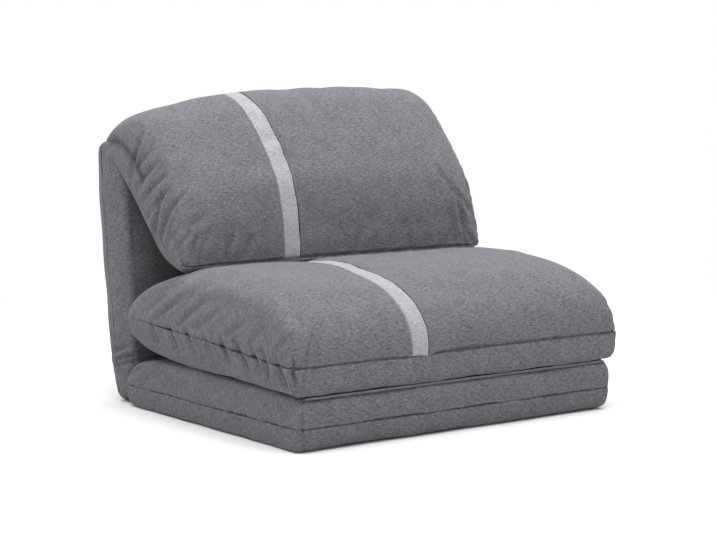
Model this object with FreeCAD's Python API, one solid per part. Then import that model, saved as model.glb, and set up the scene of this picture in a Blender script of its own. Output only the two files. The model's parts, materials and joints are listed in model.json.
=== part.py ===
import FreeCAD, Part
import math
import os
from FreeCAD import Vector

# A convertible chair bed: a low base pad with a steel frame, a seat pad folded on it at a sewn
# crease, a padded backrest on two ratchet hinges and a large pillow sewn to the backrest's top.
# Millimetres. X runs to the sitter's left, Y to the rear, Z up. The origin lies on the floor.

# Overall sizes
SLEEPER_WIDTH = 750.0
FABRIC = 2.0
SOFT_GAP = 0.4
FLOOR_CLOTH = 1.5

# Base pad
BASE_FRONT = 333.0
BASE_REAR = 286.0
BASE_HEIGHT = 105.0
BASE_SEAM = 45.0
BASE_BULGE = 10.0

# Seat pad, with its crown and front seam above the base
SEAT_CROWN_RISE = 196.0
SEAT_SEAM_RISE = 51.0
SEAT_REAR_GAP = 27.0
SEAT_BULGE = 22.0
WADDING_DEPTH = 100.0

# Crease between base and seat
CREASE_AHEAD = 8.0
CREASE_DROP = 5.0
WELT_RADIUS = 2.5

# Backrest, measured across its thickness and up from its hinge line
BACK_ABOVE_SEAT = 245.0
BACK_FRONT = 56.0
BACK_REAR = 34.0
FOOT_CLEARANCE = 4.0
HINGE_GAP = 6.0
LEAN = 6.6
BACK_NARROWER = 3.0
BACK_SEAM = 9.0

# Pillow and the flap that it hangs from. Its lowest line and its lower front edge are
# given as distances ahead of and below the flap's top seam.
PILLOW_WIDTH = 740.0
PILLOW_LOW = (289.0, 260.0)
PILLOW_EDGE = (313.0, 246.0)
FLAP_PLACE = 8.0
FLAP_RISE = 4.0
FLAP_THICKNESS = 2.0
FLAP_SHORTER = 60.0

# Stripe sewn into seat and pillow
STRIPE_MIDDLE = -112.0
STRIPE_WIDTH = 43.0

# Square steel tube
TUBE = 25.0
TUBE_WALL = 1.5
RAIL_INSET = 32.5
RAIL_FRONT_INSET = 43.0
RAIL_REAR_INSET = 24.0
RAIL_CLEARANCE = 0.5
CROSS_BARS = 2
LEG_DROP = 42.0

# Elastic webbing
STRAP_WIDTH = 45.0
STRAP_THICKNESS = 1.5
STRAP_LAP = 8.0
BASE_STRAPS = 6
BACK_STRAPS = 4

# Ratchet hinges
CHEEK = 4.0
CHEEK_LENGTH = 97.0
CHEEK_RADIUS = 20.0
DISC_THICKNESS = 5.5
DISC_PLAY = 0.25
DISC_RADIUS = 24.0
TOOTH_DEPTH = 5.0
PIN_RADIUS = 5.0
PIN_CLEARANCE = 0.05
PIN_HEAD = 8.5
PIN_HEAD_HEIGHT = 3.0
RECLINE = 83.0
STOPS = 5
PAWL_ANGLE = 150.0
PAWL_ARM = 30.0
PAWL_LIFT = 10.0
PAWL_THICKNESS = 4.5
PAWL_BOSS = 6.0
STUD_RADIUS = 3.0
TOOTH_CLEARANCE = 0.5
ARM_LAP = 90.0

# Bolts
BOLT_RADIUS = 4.0
BOLT_CLEARANCE = 0.2
BOLT_FLATS = 13.0
BOLT_HEAD = 5.0
NUT_HEIGHT = 6.5
BOLT_SPACING = 32.0
BOLT_INSET = 25.0

# Room left around what the foam holds, and how much faster the foam's ends narrow
POCKET = 0.4
NOTCH_ROOM = 2.5
CORE_NARROWING = 1.5

# Zips
ZIP_WIDTH = 7.0
SLIDER = (12.0, 8.0, 3.0)
PULL_TAB = (20.0, 6.0, 1.5)

# What follows from the sizes above
HALF_SLEEPER = SLEEPER_WIDTH / 2.0
SEAT_CROWN = BASE_HEIGHT + SEAT_CROWN_RISE
SEAT_SEAM = BASE_HEIGHT + SEAT_SEAM_RISE
SEAT_REAR = BASE_REAR - SEAT_REAR_GAP
CREASE_Y = -BASE_FRONT - CREASE_AHEAD
CREASE_Z = BASE_HEIGHT - CREASE_DROP
HINGE_Z = BACK_REAR
BACK_FOOT = BACK_REAR - FOOT_CLEARANCE
HINGE_Y = BASE_REAR + BACK_FOOT + HINGE_GAP
BACK_HEIGHT = SEAT_CROWN + BACK_ABOVE_SEAT - HINGE_Z
HALF_BACK = HALF_SLEEPER - BACK_NARROWER
RAIL_OUTSIDE = HALF_SLEEPER - RAIL_INSET
RAIL_FRONT = -BASE_FRONT + RAIL_FRONT_INSET
RAIL_REAR = BASE_REAR - RAIL_REAR_INSET
RAIL_BOTTOM = FLOOR_CLOTH + FABRIC + RAIL_CLEARANCE
RAIL_TOP = RAIL_BOTTOM + TUBE
DISC_OUTSIDE = RAIL_OUTSIDE - DISC_PLAY
DISC_INSIDE = DISC_OUTSIDE - DISC_THICKNESS
LEG_OUTSIDE = DISC_INSIDE - DISC_PLAY
LEG_FRONT = (BACK_REAR - BACK_FRONT - TUBE) / 2.0 - 0.5
NOTCH_INSIDE = LEG_OUTSIDE - TUBE - NOTCH_ROOM
NOTCH_OUTSIDE = RAIL_OUTSIDE + CHEEK + BOLT_HEAD + NOTCH_ROOM
NOTCH_TOP = DISC_RADIUS + BACK_REAR
LEG_BOTTOM = NOTCH_TOP + NOTCH_ROOM
LEG_TOP = BACK_HEIGHT - LEG_DROP
ARM_TOP = LEG_BOTTOM + ARM_LAP
ROOT_RADIUS = DISC_RADIUS - TOOTH_DEPTH
PITCH = RECLINE / (STOPS - 1)
SIDES = {"left": -1.0, "right": 1.0}


def save(shape, name):
    """Write one sub-part."""
    os.makedirs("parts", exist_ok=True)
    shape.exportStep("parts/" + name + ".step")


def box(x0, x1, y0, y1, z0, z1):
    """A box between two corners."""
    return Part.makeBox(x1 - x0, y1 - y0, z1 - z0, Vector(x0, y0, z0))


def rod(x0, x1, y, z, radius):
    """A cylinder along X."""
    return Part.makeCylinder(radius, x1 - x0, Vector(x0, y, z), Vector(1, 0, 0))


def plate(outline, x0, x1):
    """A plate with this outline in Y and Z, between two X places."""
    points = [Vector(x0, y, z) for y, z in outline]
    return Part.Face(Part.makePolygon(points + points[:1])).extrude(Vector(x1 - x0, 0, 0))


def turned(point, angle, about=(0.0, 0.0)):
    """A point of the YZ plane turned by an angle in degrees, from Y towards Z."""
    cosine = math.cos(math.radians(angle))
    sine = math.sin(math.radians(angle))
    y = point[0] - about[0]
    z = point[1] - about[1]
    return (about[0] + y * cosine - z * sine, about[1] + y * sine + z * cosine)


def on_back(across, up):
    """A place on the leaning backrest: across its thickness and up from its hinge."""
    y, z = turned((across, up), -LEAN)
    return (HINGE_Y + y, HINGE_Z + z)


def lean(shape):
    """Bring a shape built upright about the hinge line to its place on the backrest."""
    shape.rotate(Vector(0, 0, 0), Vector(1, 0, 0), -LEAN)
    shape.translate(Vector(0, HINGE_Y, HINGE_Z))
    return shape


def drawn_in(profile, tilt, seam, along, across):
    """The profile's pieces drawn in towards the seam, along and across the pad's own slope."""
    pieces = []
    for piece in profile:
        flat = [point and turned(point, -tilt, seam) for point in piece]
        near = [p and (seam[0] + (p[0] - seam[0]) * along, seam[1] + (p[1] - seam[1]) * across)
                for p in flat]
        pieces.append([p and turned(p, tilt, seam) for p in near])
    return pieces


def soft_section(pieces, x):
    """A closed outline of arcs at one place along X."""
    edges = []
    start = Vector(x, *pieces[-1][1])
    for through, end in pieces:
        finish = Vector(x, *end)
        if through is None:
            edges.append(Part.LineSegment(start, finish).toShape())
        else:
            edges.append(Part.Arc(start, Vector(x, *through), finish).toShape())
        start = finish
    return Part.Wire(edges)


def inner_corners(pieces, x, skin):
    """The corners of straight sides through the same points, each moved inwards by the skin."""
    points = [point for piece in pieces for point in piece if point]
    count = len(points)
    area = sum(points[turn - 1][0] * points[turn][1] - points[turn][0] * points[turn - 1][1]
               for turn in range(count))
    side = math.copysign(skin, area)
    lines = []
    for turn in range(count):
        a = points[turn - 1]
        b = points[turn]
        length = math.hypot(b[0] - a[0], b[1] - a[1])
        direction = ((b[0] - a[0]) / length, (b[1] - a[1]) / length)
        lines.append(((a[0] - direction[1] * side, a[1] + direction[0] * side), direction))
    corners = []
    for turn in range(count):
        (p, d), (q, e) = lines[turn - 1], lines[turn]
        reach = ((q[0] - p[0]) * e[1] - (q[1] - p[1]) * e[0]) / (d[0] * e[1] - d[1] * e[0])
        corners.append(Vector(x, p[0] + d[0] * reach, p[1] + d[1] * reach))
    return corners


def flat_face(*corners):
    """A flat face between these corners."""
    return Part.Face(Part.makePolygon(corners + corners[:1]))


def flat_sided(outlines):
    """A block through outlines that have the same number of corners, with flat sides between."""
    faces = [flat_face(*outlines[0]), flat_face(*outlines[-1])]
    for near, far in zip(outlines, outlines[1:]):
        for turn in range(len(near)):
            faces.append(flat_face(near[turn - 1], near[turn], far[turn], far[turn - 1]))
    return Part.Solid(Part.Shell(faces))


def cushion(form, skin=0.0):
    """A soft pad: sections of one profile, drawn in towards both ends.

    With a skin it is the flat-sided block within, as foam is cut, under its lined cover. That
    block's ends narrow evenly about its heart, and more than the cover's own ends.
    """
    profile, half_width, tilt, seam, heart, steps = form
    if skin > 0.0:
        seam = heart
        shares = [(inset, 1.0 - CORE_NARROWING * (1.0 - across)) for inset, along, across in steps[-2:]]
        steps = [(inset, share, share) for inset, share in shares]
    stations = [(inset - half_width + skin, along, across) for inset, along, across in steps]
    stations += [(-x, along, across) for x, along, across in stations[::-1]]
    drawn = [(drawn_in(profile, tilt, seam, along, across), x) for x, along, across in stations]
    if skin > 0.0:
        return flat_sided([inner_corners(pieces, x, skin) for pieces, x in drawn])
    return Part.makeLoft([soft_section(pieces, x) for pieces, x in drawn], True, True)


def hexagon(x0, x1, y, z, flats):
    """A hexagon prism along X."""
    corner = flats / math.sqrt(3.0)
    return plate([turned((y + corner, z), 60.0 * turn, (y, z)) for turn in range(6)], x0, x1)


def mirrored(shape):
    """The same shape on the other side."""
    return shape.mirror(Vector(0, 0, 0), Vector(1, 0, 0))


def crease_lip(side):
    """Where a pad's lower or upper front edge meets the welt in the crease."""
    reach = WELT_RADIUS + SOFT_GAP
    return turned((CREASE_Y + reach, CREASE_Z), 34.0 * side, (CREASE_Y, CREASE_Z))


def base_form():
    """Base pad: flat underneath, low crown, rear end rounded down in front of the hinges."""
    front = -BASE_FRONT
    rear = BASE_REAR
    top = BASE_HEIGHT
    low = FLOOR_CLOTH
    profile = [
        ((front + 3.5, low + 3.5), (front, low + 12.0)),
        ((front - 7.0, BASE_SEAM + 10.0), crease_lip(-1.0)),
        ((front + 13.0, top - 2.6), (front + 33.0, top)),
        ((-130.0, top + 3.1), (60.0, top + 4.5)),
        ((rear - 156.0, top + 4.0), (rear - 96.0, top)),
        ((rear - 38.0, top - 14.0), (rear - 3.0, top - 43.0)),
        ((rear + 2.5, BASE_SEAM - 3.0), (rear - 1.0, low + 18.0)),
        ((rear - 6.3, low + 5.3), (rear - 19.0, low)),
        (None, (front + 12.0, low)),
    ]
    steps = [(0.0, 0.978, 0.60), (5.0, 0.99, 0.86), (22.0, 1.0, 1.0)]
    seam = (0.0, BASE_SEAM)
    return profile, HALF_SLEEPER + BASE_BULGE, 0.0, seam, seam, steps


def seat_form():
    """Seat pad: high crown, a rounded front face over the crease, a lower rear under the pillow."""
    front = -BASE_FRONT - CREASE_AHEAD + 1.0
    rear = SEAT_REAR
    crown = SEAT_CROWN
    seam = SEAT_SEAM
    bottom = BASE_HEIGHT + SOFT_GAP
    profile = [
        ((front - 0.6, (CREASE_Z + seam) / 2.0), (front, seam)),
        ((front + 4.0, seam + 44.0), (front + 28.0, seam + 82.0)),
        ((front + 125.0, crown - 14.0), (-60.0, crown)),
        ((rear - 199.0, crown - 11.0), (rear - 109.0, crown - 31.0)),
        ((rear - 54.0, crown - 46.0), (rear - 23.0, crown - 64.0)),
        ((rear - 2.0, crown - 90.0), (rear, bottom + 75.0)),
        ((rear - 9.0, bottom + 45.0), (rear - 43.0, bottom + 28.0)),
        ((rear - 109.0, bottom + 12.0), (60.0, bottom + 4.5)),
        ((-130.0, bottom + 3.1), (front + 40.0, bottom)),
        ((front + 20.0, bottom - 1.6), crease_lip(1.0)),
    ]
    steps = [(0.0, 0.94, 0.44), (14.0, 0.975, 0.80), (56.0, 1.0, 1.0)]
    middle = (-40.0, seam + 16.0)
    return profile, HALF_SLEEPER + SEAT_BULGE, 3.8, middle, middle, steps


def back_form():
    """Backrest: a flat panel with full corners that narrows to a half round foot on its hinges."""
    front = -BACK_FRONT
    rear = BACK_REAR
    foot = BACK_FOOT
    top = BACK_HEIGHT
    bend = foot * math.sqrt(0.5)
    upright = [
        ((-bend, -bend), (0.0, -foot)),
        ((bend, -bend), (foot, 0.0)),
        ((rear, 50.0), (rear, 100.0)),
        ((rear + 2.0, 280.0), (rear, top - 52.0)),
        ((rear - 10.0, top - 20.0), (0.0, top - 7.0)),
        ((-18.0, top - 1.5), (front + 21.0, top)),
        ((front + 5.0, top - 8.0), (front, top - 27.0)),
        ((front - 4.0, top - 212.0), (front, 120.0)),
        ((front + 8.0, 50.0), (-foot, 0.0)),
    ]
    profile = [(on_back(*through), on_back(*end)) for through, end in upright]
    steps = [(0.0, 0.978, 0.58), (6.0, 0.99, 0.86), (24.0, 1.0, 1.0)]
    seam = on_back(BACK_SEAM, top / 2.0)
    return profile, HALF_BACK, 90.0 - LEAN, seam, seam, steps


def flap_end():
    """The seam at the top of the flap, which the pillow turns about."""
    return on_back(FLAP_PLACE, BACK_HEIGHT + FLAP_RISE)


def from_flap(ahead, below):
    """A place on the pillow, ahead of and below the seam at the top of the flap."""
    y, z = flap_end()
    return (y - ahead, z - below)


def pillow_form():
    """Pillow: hangs over the backrest's top and leans forward to rest its lower edge on the seat."""
    head = on_back(-BACK_FRONT + 21.0, BACK_HEIGHT)[1] + SOFT_GAP
    corner = from_flap(67.0, 0.0)[0]
    profile = [
        (from_flap(303.0, 134.0), from_flap(239.0, 24.0)),
        (from_flap(184.0, -46.0), from_flap(111.0, -90.0)),
        (from_flap(46.0, -85.0), from_flap(1.0, -15.0)),
        (from_flap(-2.0, -8.0), from_flap(3.0, -3.0)),
        (((corner + from_flap(3.0, 0.0)[0]) / 2.0, head + 0.6), (corner, head)),
        (from_flap(99.0, 74.0), from_flap(184.0, 208.0)),
        (from_flap(237.0, 253.0), from_flap(*PILLOW_LOW)),
        (from_flap(305.0, 256.0), from_flap(*PILLOW_EDGE)),
    ]
    steps = [(0.0, 0.90, 0.44), (12.0, 0.96, 0.80), (46.0, 1.0, 1.0)]
    seam = from_flap(157.0, 84.0)
    heart = from_flap(75.0, -37.0)
    return profile, PILLOW_WIDTH / 2.0, 45.6, seam, heart, steps


def panel_above(point, angle):
    """A large block whose lower face runs through a point of the YZ plane at this angle."""
    reach = 2.0 * SLEEPER_WIDTH
    shape = box(STRIPE_MIDDLE - STRIPE_WIDTH / 2.0, STRIPE_MIDDLE + STRIPE_WIDTH / 2.0,
                -reach, reach, 0.0, reach)
    shape.rotate(Vector(0, 0, 0), Vector(1, 0, 0), angle)
    shape.translate(Vector(0, *point))
    return shape


def square_frame(spans, wall):
    """Tubes with a square section, welded where they cross. A wall of zero gives the room inside."""
    whole = None
    for x0, x1, y0, y1, z0, z1 in spans:
        tube = box(x0 + wall, x1 - wall, y0 + wall, y1 - wall, z0 + wall, z1 - wall)
        whole = whole.fuse(tube) if whole else tube
    return whole.removeSplitter()


def base_spans():
    """Base frame: two rails, a front and a rear bar, and the cross bars."""
    z0 = RAIL_BOTTOM
    z1 = RAIL_TOP
    out = RAIL_OUTSIDE
    spans = [(side * out - (TUBE if side > 0 else 0.0), side * out + (0.0 if side > 0 else TUBE),
              RAIL_FRONT, RAIL_REAR, z0, z1) for side in SIDES.values()]
    for turn in range(CROSS_BARS + 2):
        y = RAIL_FRONT + (RAIL_REAR - TUBE - RAIL_FRONT) * turn / (CROSS_BARS + 1.0)
        spans.append((-out, out, y, y + TUBE, z0, z1))
    return spans


def back_spans(grow=0.0):
    """Backrest frame: two legs and a top bar, upright about the hinge line."""
    n0 = LEG_FRONT - grow
    n1 = LEG_FRONT + TUBE + grow
    out = LEG_OUTSIDE + grow
    inner = LEG_OUTSIDE - TUBE - grow
    spans = [(-out, -inner, n0, n1, LEG_BOTTOM - grow, LEG_TOP + grow),
             (inner, out, n0, n1, LEG_BOTTOM - grow, LEG_TOP + grow),
             (-out, out, n0, n1, LEG_TOP - TUBE - grow, LEG_TOP + grow)]
    return spans


def straps(first, last, count, x_end, low, upright):
    """Evenly spaced webbing straps from side to side, laid on the frame."""
    solids = []
    for strap in range(count):
        middle = first + (last - first) * strap / (count - 1.0)
        a = middle - STRAP_WIDTH / 2.0
        b = middle + STRAP_WIDTH / 2.0
        if upright:
            solids.append(box(-x_end, x_end, low - STRAP_THICKNESS, low, a, b))
        else:
            solids.append(box(-x_end, x_end, a, b, low, low + STRAP_THICKNESS))
    return Part.makeCompound(solids)


def bolt_places_on_back():
    """The two bolt holes in a backrest leg, as distances across and up."""
    return [(LEG_FRONT + TUBE / 2.0, LEG_BOTTOM + BOLT_INSET + BOLT_SPACING * turn)
            for turn in range(2)]


def bolt_places_on_rail():
    """The two bolt holes in a base rail, as places along Y."""
    return [RAIL_REAR - CHEEK_LENGTH + BOLT_INSET + BOLT_SPACING * turn for turn in range(2)]


def cheek():
    """Right cheek: a steel plate bolted to the rail, with the pin's eye and the pawl's stud."""
    x0 = RAIL_OUTSIDE
    x1 = x0 + CHEEK
    start = RAIL_REAR - CHEEK_LENGTH
    low = RAIL_BOTTOM + 1.0
    high = RAIL_TOP - 1.0
    stud_y, stud_z = pawl_pivot()
    outline = [(start, low + 4.0), (start + 4.0, low), (HINGE_Y - 30.0, low),
               (HINGE_Y + 6.0, HINGE_Z - CHEEK_RADIUS + 1.0), (HINGE_Y, HINGE_Z + CHEEK_RADIUS),
               (HINGE_Y - 40.0, HINGE_Z + CHEEK_RADIUS - 3.0), (RAIL_REAR, high),
               (start + 4.0, high), (start, high - 4.0)]
    shape = plate(outline, x0, x1)
    shape = shape.fuse(rod(x0, x1, HINGE_Y, HINGE_Z, CHEEK_RADIUS))
    shape = shape.fuse(rod(DISC_INSIDE - 1.0, x0, stud_y, stud_z, STUD_RADIUS))
    shape = shape.cut(rod(x0, x1, HINGE_Y, HINGE_Z, PIN_RADIUS))
    for y in bolt_places_on_rail():
        shape = shape.cut(rod(x0, x1, y, RAIL_BOTTOM + TUBE / 2.0, BOLT_RADIUS + BOLT_CLEARANCE))
    return shape.removeSplitter()


def pawl_pivot():
    """Where the pawl turns: below its nose, square to the line from the hinge pin."""
    nose = turned((HINGE_Y + (DISC_RADIUS + ROOT_RADIUS) / 2.0, HINGE_Z), PAWL_ANGLE,
                  (HINGE_Y, HINGE_Z))
    down = math.radians(PAWL_ANGLE + 90.0)
    return (nose[0] + PAWL_ARM * math.cos(down), nose[1] + PAWL_ARM * math.sin(down))


def tooth_gap(grow, inner, outer, angle):
    """The outline of a gap between teeth, or of the nose that fits it."""
    points = [(HINGE_Y + inner, HINGE_Z - 2.4 - grow), (HINGE_Y + outer, HINGE_Z - 3.4 - grow),
              (HINGE_Y + outer, HINGE_Z + 3.4 + grow), (HINGE_Y + inner, HINGE_Z + 2.4 + grow)]
    return [turned(point, angle, (HINGE_Y, HINGE_Z)) for point in points]


def ratchet_arm():
    """Right arm: a toothed disc on the hinge pin, drawn out into the strap bolted to the leg."""
    neck = DISC_RADIUS - 7.0
    front = LEG_FRONT + 1.0
    rear = LEG_FRONT + TUBE - 1.0
    shoulder = NOTCH_TOP - NOTCH_ROOM
    strap = plate([(-neck, 10.0), (front, shoulder), (front, ARM_TOP - 4.0), (front + 4.0, ARM_TOP),
                   (rear - 4.0, ARM_TOP), (rear, ARM_TOP - 4.0), (rear, shoulder), (neck, 10.0)],
                  LEG_OUTSIDE, DISC_OUTSIDE)
    for across, up in bolt_places_on_back():
        strap = strap.cut(rod(LEG_OUTSIDE, DISC_OUTSIDE, across, up, BOLT_RADIUS + BOLT_CLEARANCE))
    disc = rod(DISC_INSIDE, DISC_OUTSIDE, HINGE_Y, HINGE_Z, DISC_RADIUS)
    for stop in range(STOPS):
        gap = tooth_gap(0.0, ROOT_RADIUS, DISC_RADIUS + 3.0, PAWL_ANGLE + PITCH * stop)
        disc = disc.cut(plate(gap, DISC_INSIDE, DISC_OUTSIDE))
    shape = disc.fuse(lean(strap))
    shape = shape.cut(rod(LEG_OUTSIDE, DISC_OUTSIDE, HINGE_Y, HINGE_Z, PIN_RADIUS + PIN_CLEARANCE))
    return shape.removeSplitter()


def pawl():
    """Right pawl, lifted clear of the teeth as it is while the backrest is raised."""
    x0 = (DISC_INSIDE + DISC_OUTSIDE - PAWL_THICKNESS) / 2.0
    x1 = x0 + PAWL_THICKNESS
    pivot = pawl_pivot()
    nose = tooth_gap(-TOOTH_CLEARANCE, ROOT_RADIUS + TOOTH_CLEARANCE, DISC_RADIUS + 8.0, PAWL_ANGLE)
    heel = [turned((HINGE_Y + DISC_RADIUS + reach, HINGE_Z), PAWL_ANGLE, (HINGE_Y, HINGE_Z))
            for reach in (1.5, 8.0)]
    down = math.radians(PAWL_ANGLE + 90.0)
    along = (math.cos(down), math.sin(down))
    arm = [heel[0], heel[1],
           (heel[1][0] + along[0] * (PAWL_ARM - 4.0), heel[1][1] + along[1] * (PAWL_ARM - 4.0)),
           (pivot[0] + 1.0, pivot[1] - 2.0), (pivot[0] + 5.0, pivot[1] + 3.0)]
    shape = plate(nose, x0, x1).fuse(plate(arm, x0, x1))
    shape = shape.fuse(rod(x0, x1, pivot[0], pivot[1], PAWL_BOSS))
    shape = shape.cut(rod(x0 - 1.0, x1 + 1.0, pivot[0], pivot[1], STUD_RADIUS + PIN_CLEARANCE))
    shape.rotate(Vector(0, *pivot), Vector(1, 0, 0), PAWL_LIFT)
    return shape.removeSplitter()


def hinge_pin():
    """Right hinge pin, pressed into the cheek and headed inside the disc."""
    x0 = LEG_OUTSIDE - DISC_PLAY
    shape = rod(x0, RAIL_OUTSIDE + CHEEK, HINGE_Y, HINGE_Z, PIN_RADIUS)
    return shape.fuse(rod(x0 - PIN_HEAD_HEIGHT, x0, HINGE_Y, HINGE_Z, PIN_HEAD)).removeSplitter()


def bolt(face, wall, y, z):
    """A hexagon bolt, head outside one face, held by a nut on the inside of the tube's wall."""
    back = wall - TUBE_WALL
    shank = rod(back - NUT_HEIGHT, face, y, z, BOLT_RADIUS)
    head = hexagon(face, face + BOLT_HEAD, y, z, BOLT_FLATS)
    nut = hexagon(back - NUT_HEIGHT, back, y, z, BOLT_FLATS)
    return shank.fuse(head).fuse(nut).removeSplitter()


def both_sides(solids):
    """A group of fasteners and the same group mirrored."""
    return Part.makeCompound(solids + [mirrored(solid) for solid in solids])


def slider(outer, x, y, z, angle):
    """A zip slider with its pull tab, seated on the cover at this place."""
    length, width, height = SLIDER
    body = box(-length / 2, length / 2, -width / 2, width / 2, -height, height)
    tab_length, tab_width, tab_height = PULL_TAB
    tab = box(length / 2 - 3.0, length / 2 + tab_length, -tab_width / 2, tab_width / 2,
              height - tab_height, height)
    shape = body.fuse(tab)
    shape.rotate(Vector(0, 0, 0), Vector(1, 0, 0), angle)
    shape.translate(Vector(x, y, z))
    return shape.cut(outer).removeSplitter()


# Base pad and what it holds
base = base_form()
frame_room = box(-NOTCH_OUTSIDE, NOTCH_OUTSIDE, RAIL_FRONT - 12.0, RAIL_REAR + 4.0, 0.0,
                 RAIL_TOP + STRAP_THICKNESS + POCKET)
cheek_rooms = both_sides([box(LEG_OUTSIDE - NOTCH_ROOM, NOTCH_OUTSIDE, RAIL_REAR, HINGE_Y,
                              RAIL_BOTTOM, HINGE_Z + CHEEK_RADIUS + NOTCH_ROOM)])
save(cushion(base).cut(cushion(base, FABRIC)).cut(cheek_rooms), "base_cover")
save(cushion(base, FABRIC + SOFT_GAP).cut(frame_room).cut(cheek_rooms), "base_foam")
save(box(-HALF_SLEEPER + 40.0, HALF_SLEEPER - 40.0, -BASE_FRONT + 21.0, BASE_REAR - 30.0,
         0.0, FLOOR_CLOTH), "grip_cloth")
save(rod(-HALF_SLEEPER, HALF_SLEEPER, CREASE_Y, CREASE_Z, WELT_RADIUS), "crease_welt")

base_frame = square_frame(base_spans(), 0.0).cut(square_frame(base_spans(), TUBE_WALL))
cheek_bolts = []
for place in bolt_places_on_rail():
    middle = RAIL_BOTTOM + TUBE / 2.0
    hole = rod(RAIL_OUTSIDE - TUBE_WALL, RAIL_OUTSIDE, place, middle, BOLT_RADIUS + BOLT_CLEARANCE)
    base_frame = base_frame.cut(both_sides([hole]))
    cheek_bolts.append(bolt(RAIL_OUTSIDE + CHEEK, RAIL_OUTSIDE, place, middle))
save(base_frame, "base_frame")
save(both_sides(cheek_bolts), "cheek_bolts")
save(straps(RAIL_FRONT + 2.0 * TUBE, RAIL_REAR - 2.0 * TUBE, BASE_STRAPS, RAIL_OUTSIDE - STRAP_LAP,
            RAIL_TOP, False), "base_webbing")

# Backrest and what it holds
back = back_form()
back_outer = cushion(back)
notches = both_sides([lean(box(NOTCH_INSIDE, NOTCH_OUTSIDE, -BACK_FRONT - 20.0, BACK_REAR + 20.0,
                               -BACK_FOOT - 5.0, NOTCH_TOP))])
save(back_outer.cut(cushion(back, FABRIC)).cut(notches), "back_cover")
arm_room = lean(box(LEG_OUTSIDE, DISC_OUTSIDE + BOLT_HEAD + POCKET, LEG_FRONT - POCKET,
                    LEG_FRONT + TUBE + POCKET, NOTCH_TOP, ARM_TOP + POCKET))
first_strap = ARM_TOP
last_strap = LEG_TOP - 2.0 * TUBE - STRAP_WIDTH / 2.0
strap_room = lean(box(-LEG_OUTSIDE, LEG_OUTSIDE, LEG_FRONT - STRAP_THICKNESS - POCKET, LEG_FRONT,
                      first_strap - STRAP_WIDTH, last_strap + STRAP_WIDTH))
back_foam = cushion(back, FABRIC + SOFT_GAP).cut(notches)
back_foam = back_foam.cut(lean(square_frame(back_spans(POCKET), 0.0)))
save(back_foam.cut(strap_room).cut(both_sides([arm_room])), "back_foam")

back_frame = square_frame(back_spans(), 0.0).cut(square_frame(back_spans(), TUBE_WALL))
arm_bolts = []
for across, up in bolt_places_on_back():
    hole = rod(LEG_OUTSIDE - TUBE_WALL, LEG_OUTSIDE, across, up, BOLT_RADIUS + BOLT_CLEARANCE)
    back_frame = back_frame.cut(both_sides([hole]))
    arm_bolts.append(lean(bolt(DISC_OUTSIDE, LEG_OUTSIDE, across, up)))
save(lean(back_frame), "back_frame")
save(both_sides(arm_bolts), "arm_bolts")
save(lean(straps(first_strap, last_strap, BACK_STRAPS, LEG_OUTSIDE - STRAP_LAP, LEG_FRONT, True)),
     "back_webbing")

# Ratchet hinges
for name, sign in SIDES.items():
    for shape, kind in ((cheek(), "hinge_cheek"), (ratchet_arm(), "ratchet_arm"), (pawl(), "pawl")):
        save(shape if sign > 0 else mirrored(shape), kind + "_" + name)
save(both_sides([hinge_pin()]), "hinge_pins")

# Seat pad, with a zip along the rear under the pillow
seat = seat_form()
seat_outer = cushion(seat)
seat_shell = seat_outer.cut(cushion(seat, FABRIC))
zip_low = SEAT_SEAM + 4.0
zip_high = zip_low + ZIP_WIDTH
zip_end = HALF_SLEEPER - FLAP_SHORTER
seat_stripe = seat_shell.common(panel_above((0.0, SEAT_SEAM), 0.0))
seat_stripe = seat_stripe.cut(box(-SLEEPER_WIDTH, SLEEPER_WIDTH, 0.0, SEAT_REAR, 0.0, zip_high))
seat_zip = seat_shell.common(box(-zip_end, zip_end, 0.0, SEAT_REAR, zip_low, zip_high))
save(seat_stripe, "seat_stripe")
save(seat_zip, "seat_zip")
save(seat_shell.cut(seat_stripe).cut(seat_zip), "seat_cover")
save(slider(seat_outer, zip_end - SLIDER[0], SEAT_REAR - 3.0, (zip_low + zip_high) / 2.0, -100.0),
     "seat_zip_puller")
seat_filling = cushion(seat, FABRIC + SOFT_GAP)
reach = SLEEPER_WIDTH
foam_top = SEAT_CROWN - WADDING_DEPTH
save(seat_filling.common(box(-reach, reach, -reach, reach, 0.0, foam_top)), "seat_foam")
save(seat_filling.common(box(-reach, reach, -reach, reach, foam_top, reach)), "seat_wadding")

# Pillow, its zip under the lower front edge, and the flap that holds it to the backrest
pillow = pillow_form()
pillow_outer = cushion(pillow)
pillow_shell = pillow_outer.cut(cushion(pillow, FABRIC))
low_y, low_z = from_flap(*PILLOW_LOW)
edge = from_flap(*PILLOW_EDGE)
rise = math.degrees(math.atan2(PILLOW_EDGE[1], PILLOW_EDGE[0]))
pillow_stripe = pillow_shell.common(panel_above(edge, rise))
zip_left = -HALF_SLEEPER + 2.0 * FLAP_SHORTER
pillow_zip = pillow_shell.common(box(zip_left, zip_end, edge[0] - 10.0, low_y, low_z + 1.5,
                                     low_z + 1.5 + ZIP_WIDTH))
save(pillow_stripe, "pillow_stripe")
save(pillow_zip, "pillow_zip")
save(pillow_shell.cut(pillow_stripe).cut(pillow_zip), "pillow_cover")
save(cushion(pillow, FABRIC + SOFT_GAP), "pillow_fill")
save(slider(pillow_outer, zip_end - SLIDER[0], (edge[0] + low_y) / 2.0 - 7.0, low_z + 5.0, 150.0),
     "pillow_zip_puller")
flap_half = HALF_SLEEPER - FLAP_SHORTER
flap = lean(box(-flap_half, flap_half, FLAP_PLACE - FLAP_THICKNESS / 2.0,
                FLAP_PLACE + FLAP_THICKNESS / 2.0, BACK_HEIGHT - 30.0, BACK_HEIGHT + FLAP_RISE))
flap = flap.fuse(rod(-flap_half, flap_half, *flap_end(), WELT_RADIUS))
save(flap.cut(back_outer).removeSplitter(), "pillow_flap")
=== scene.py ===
import json
import math

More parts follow.
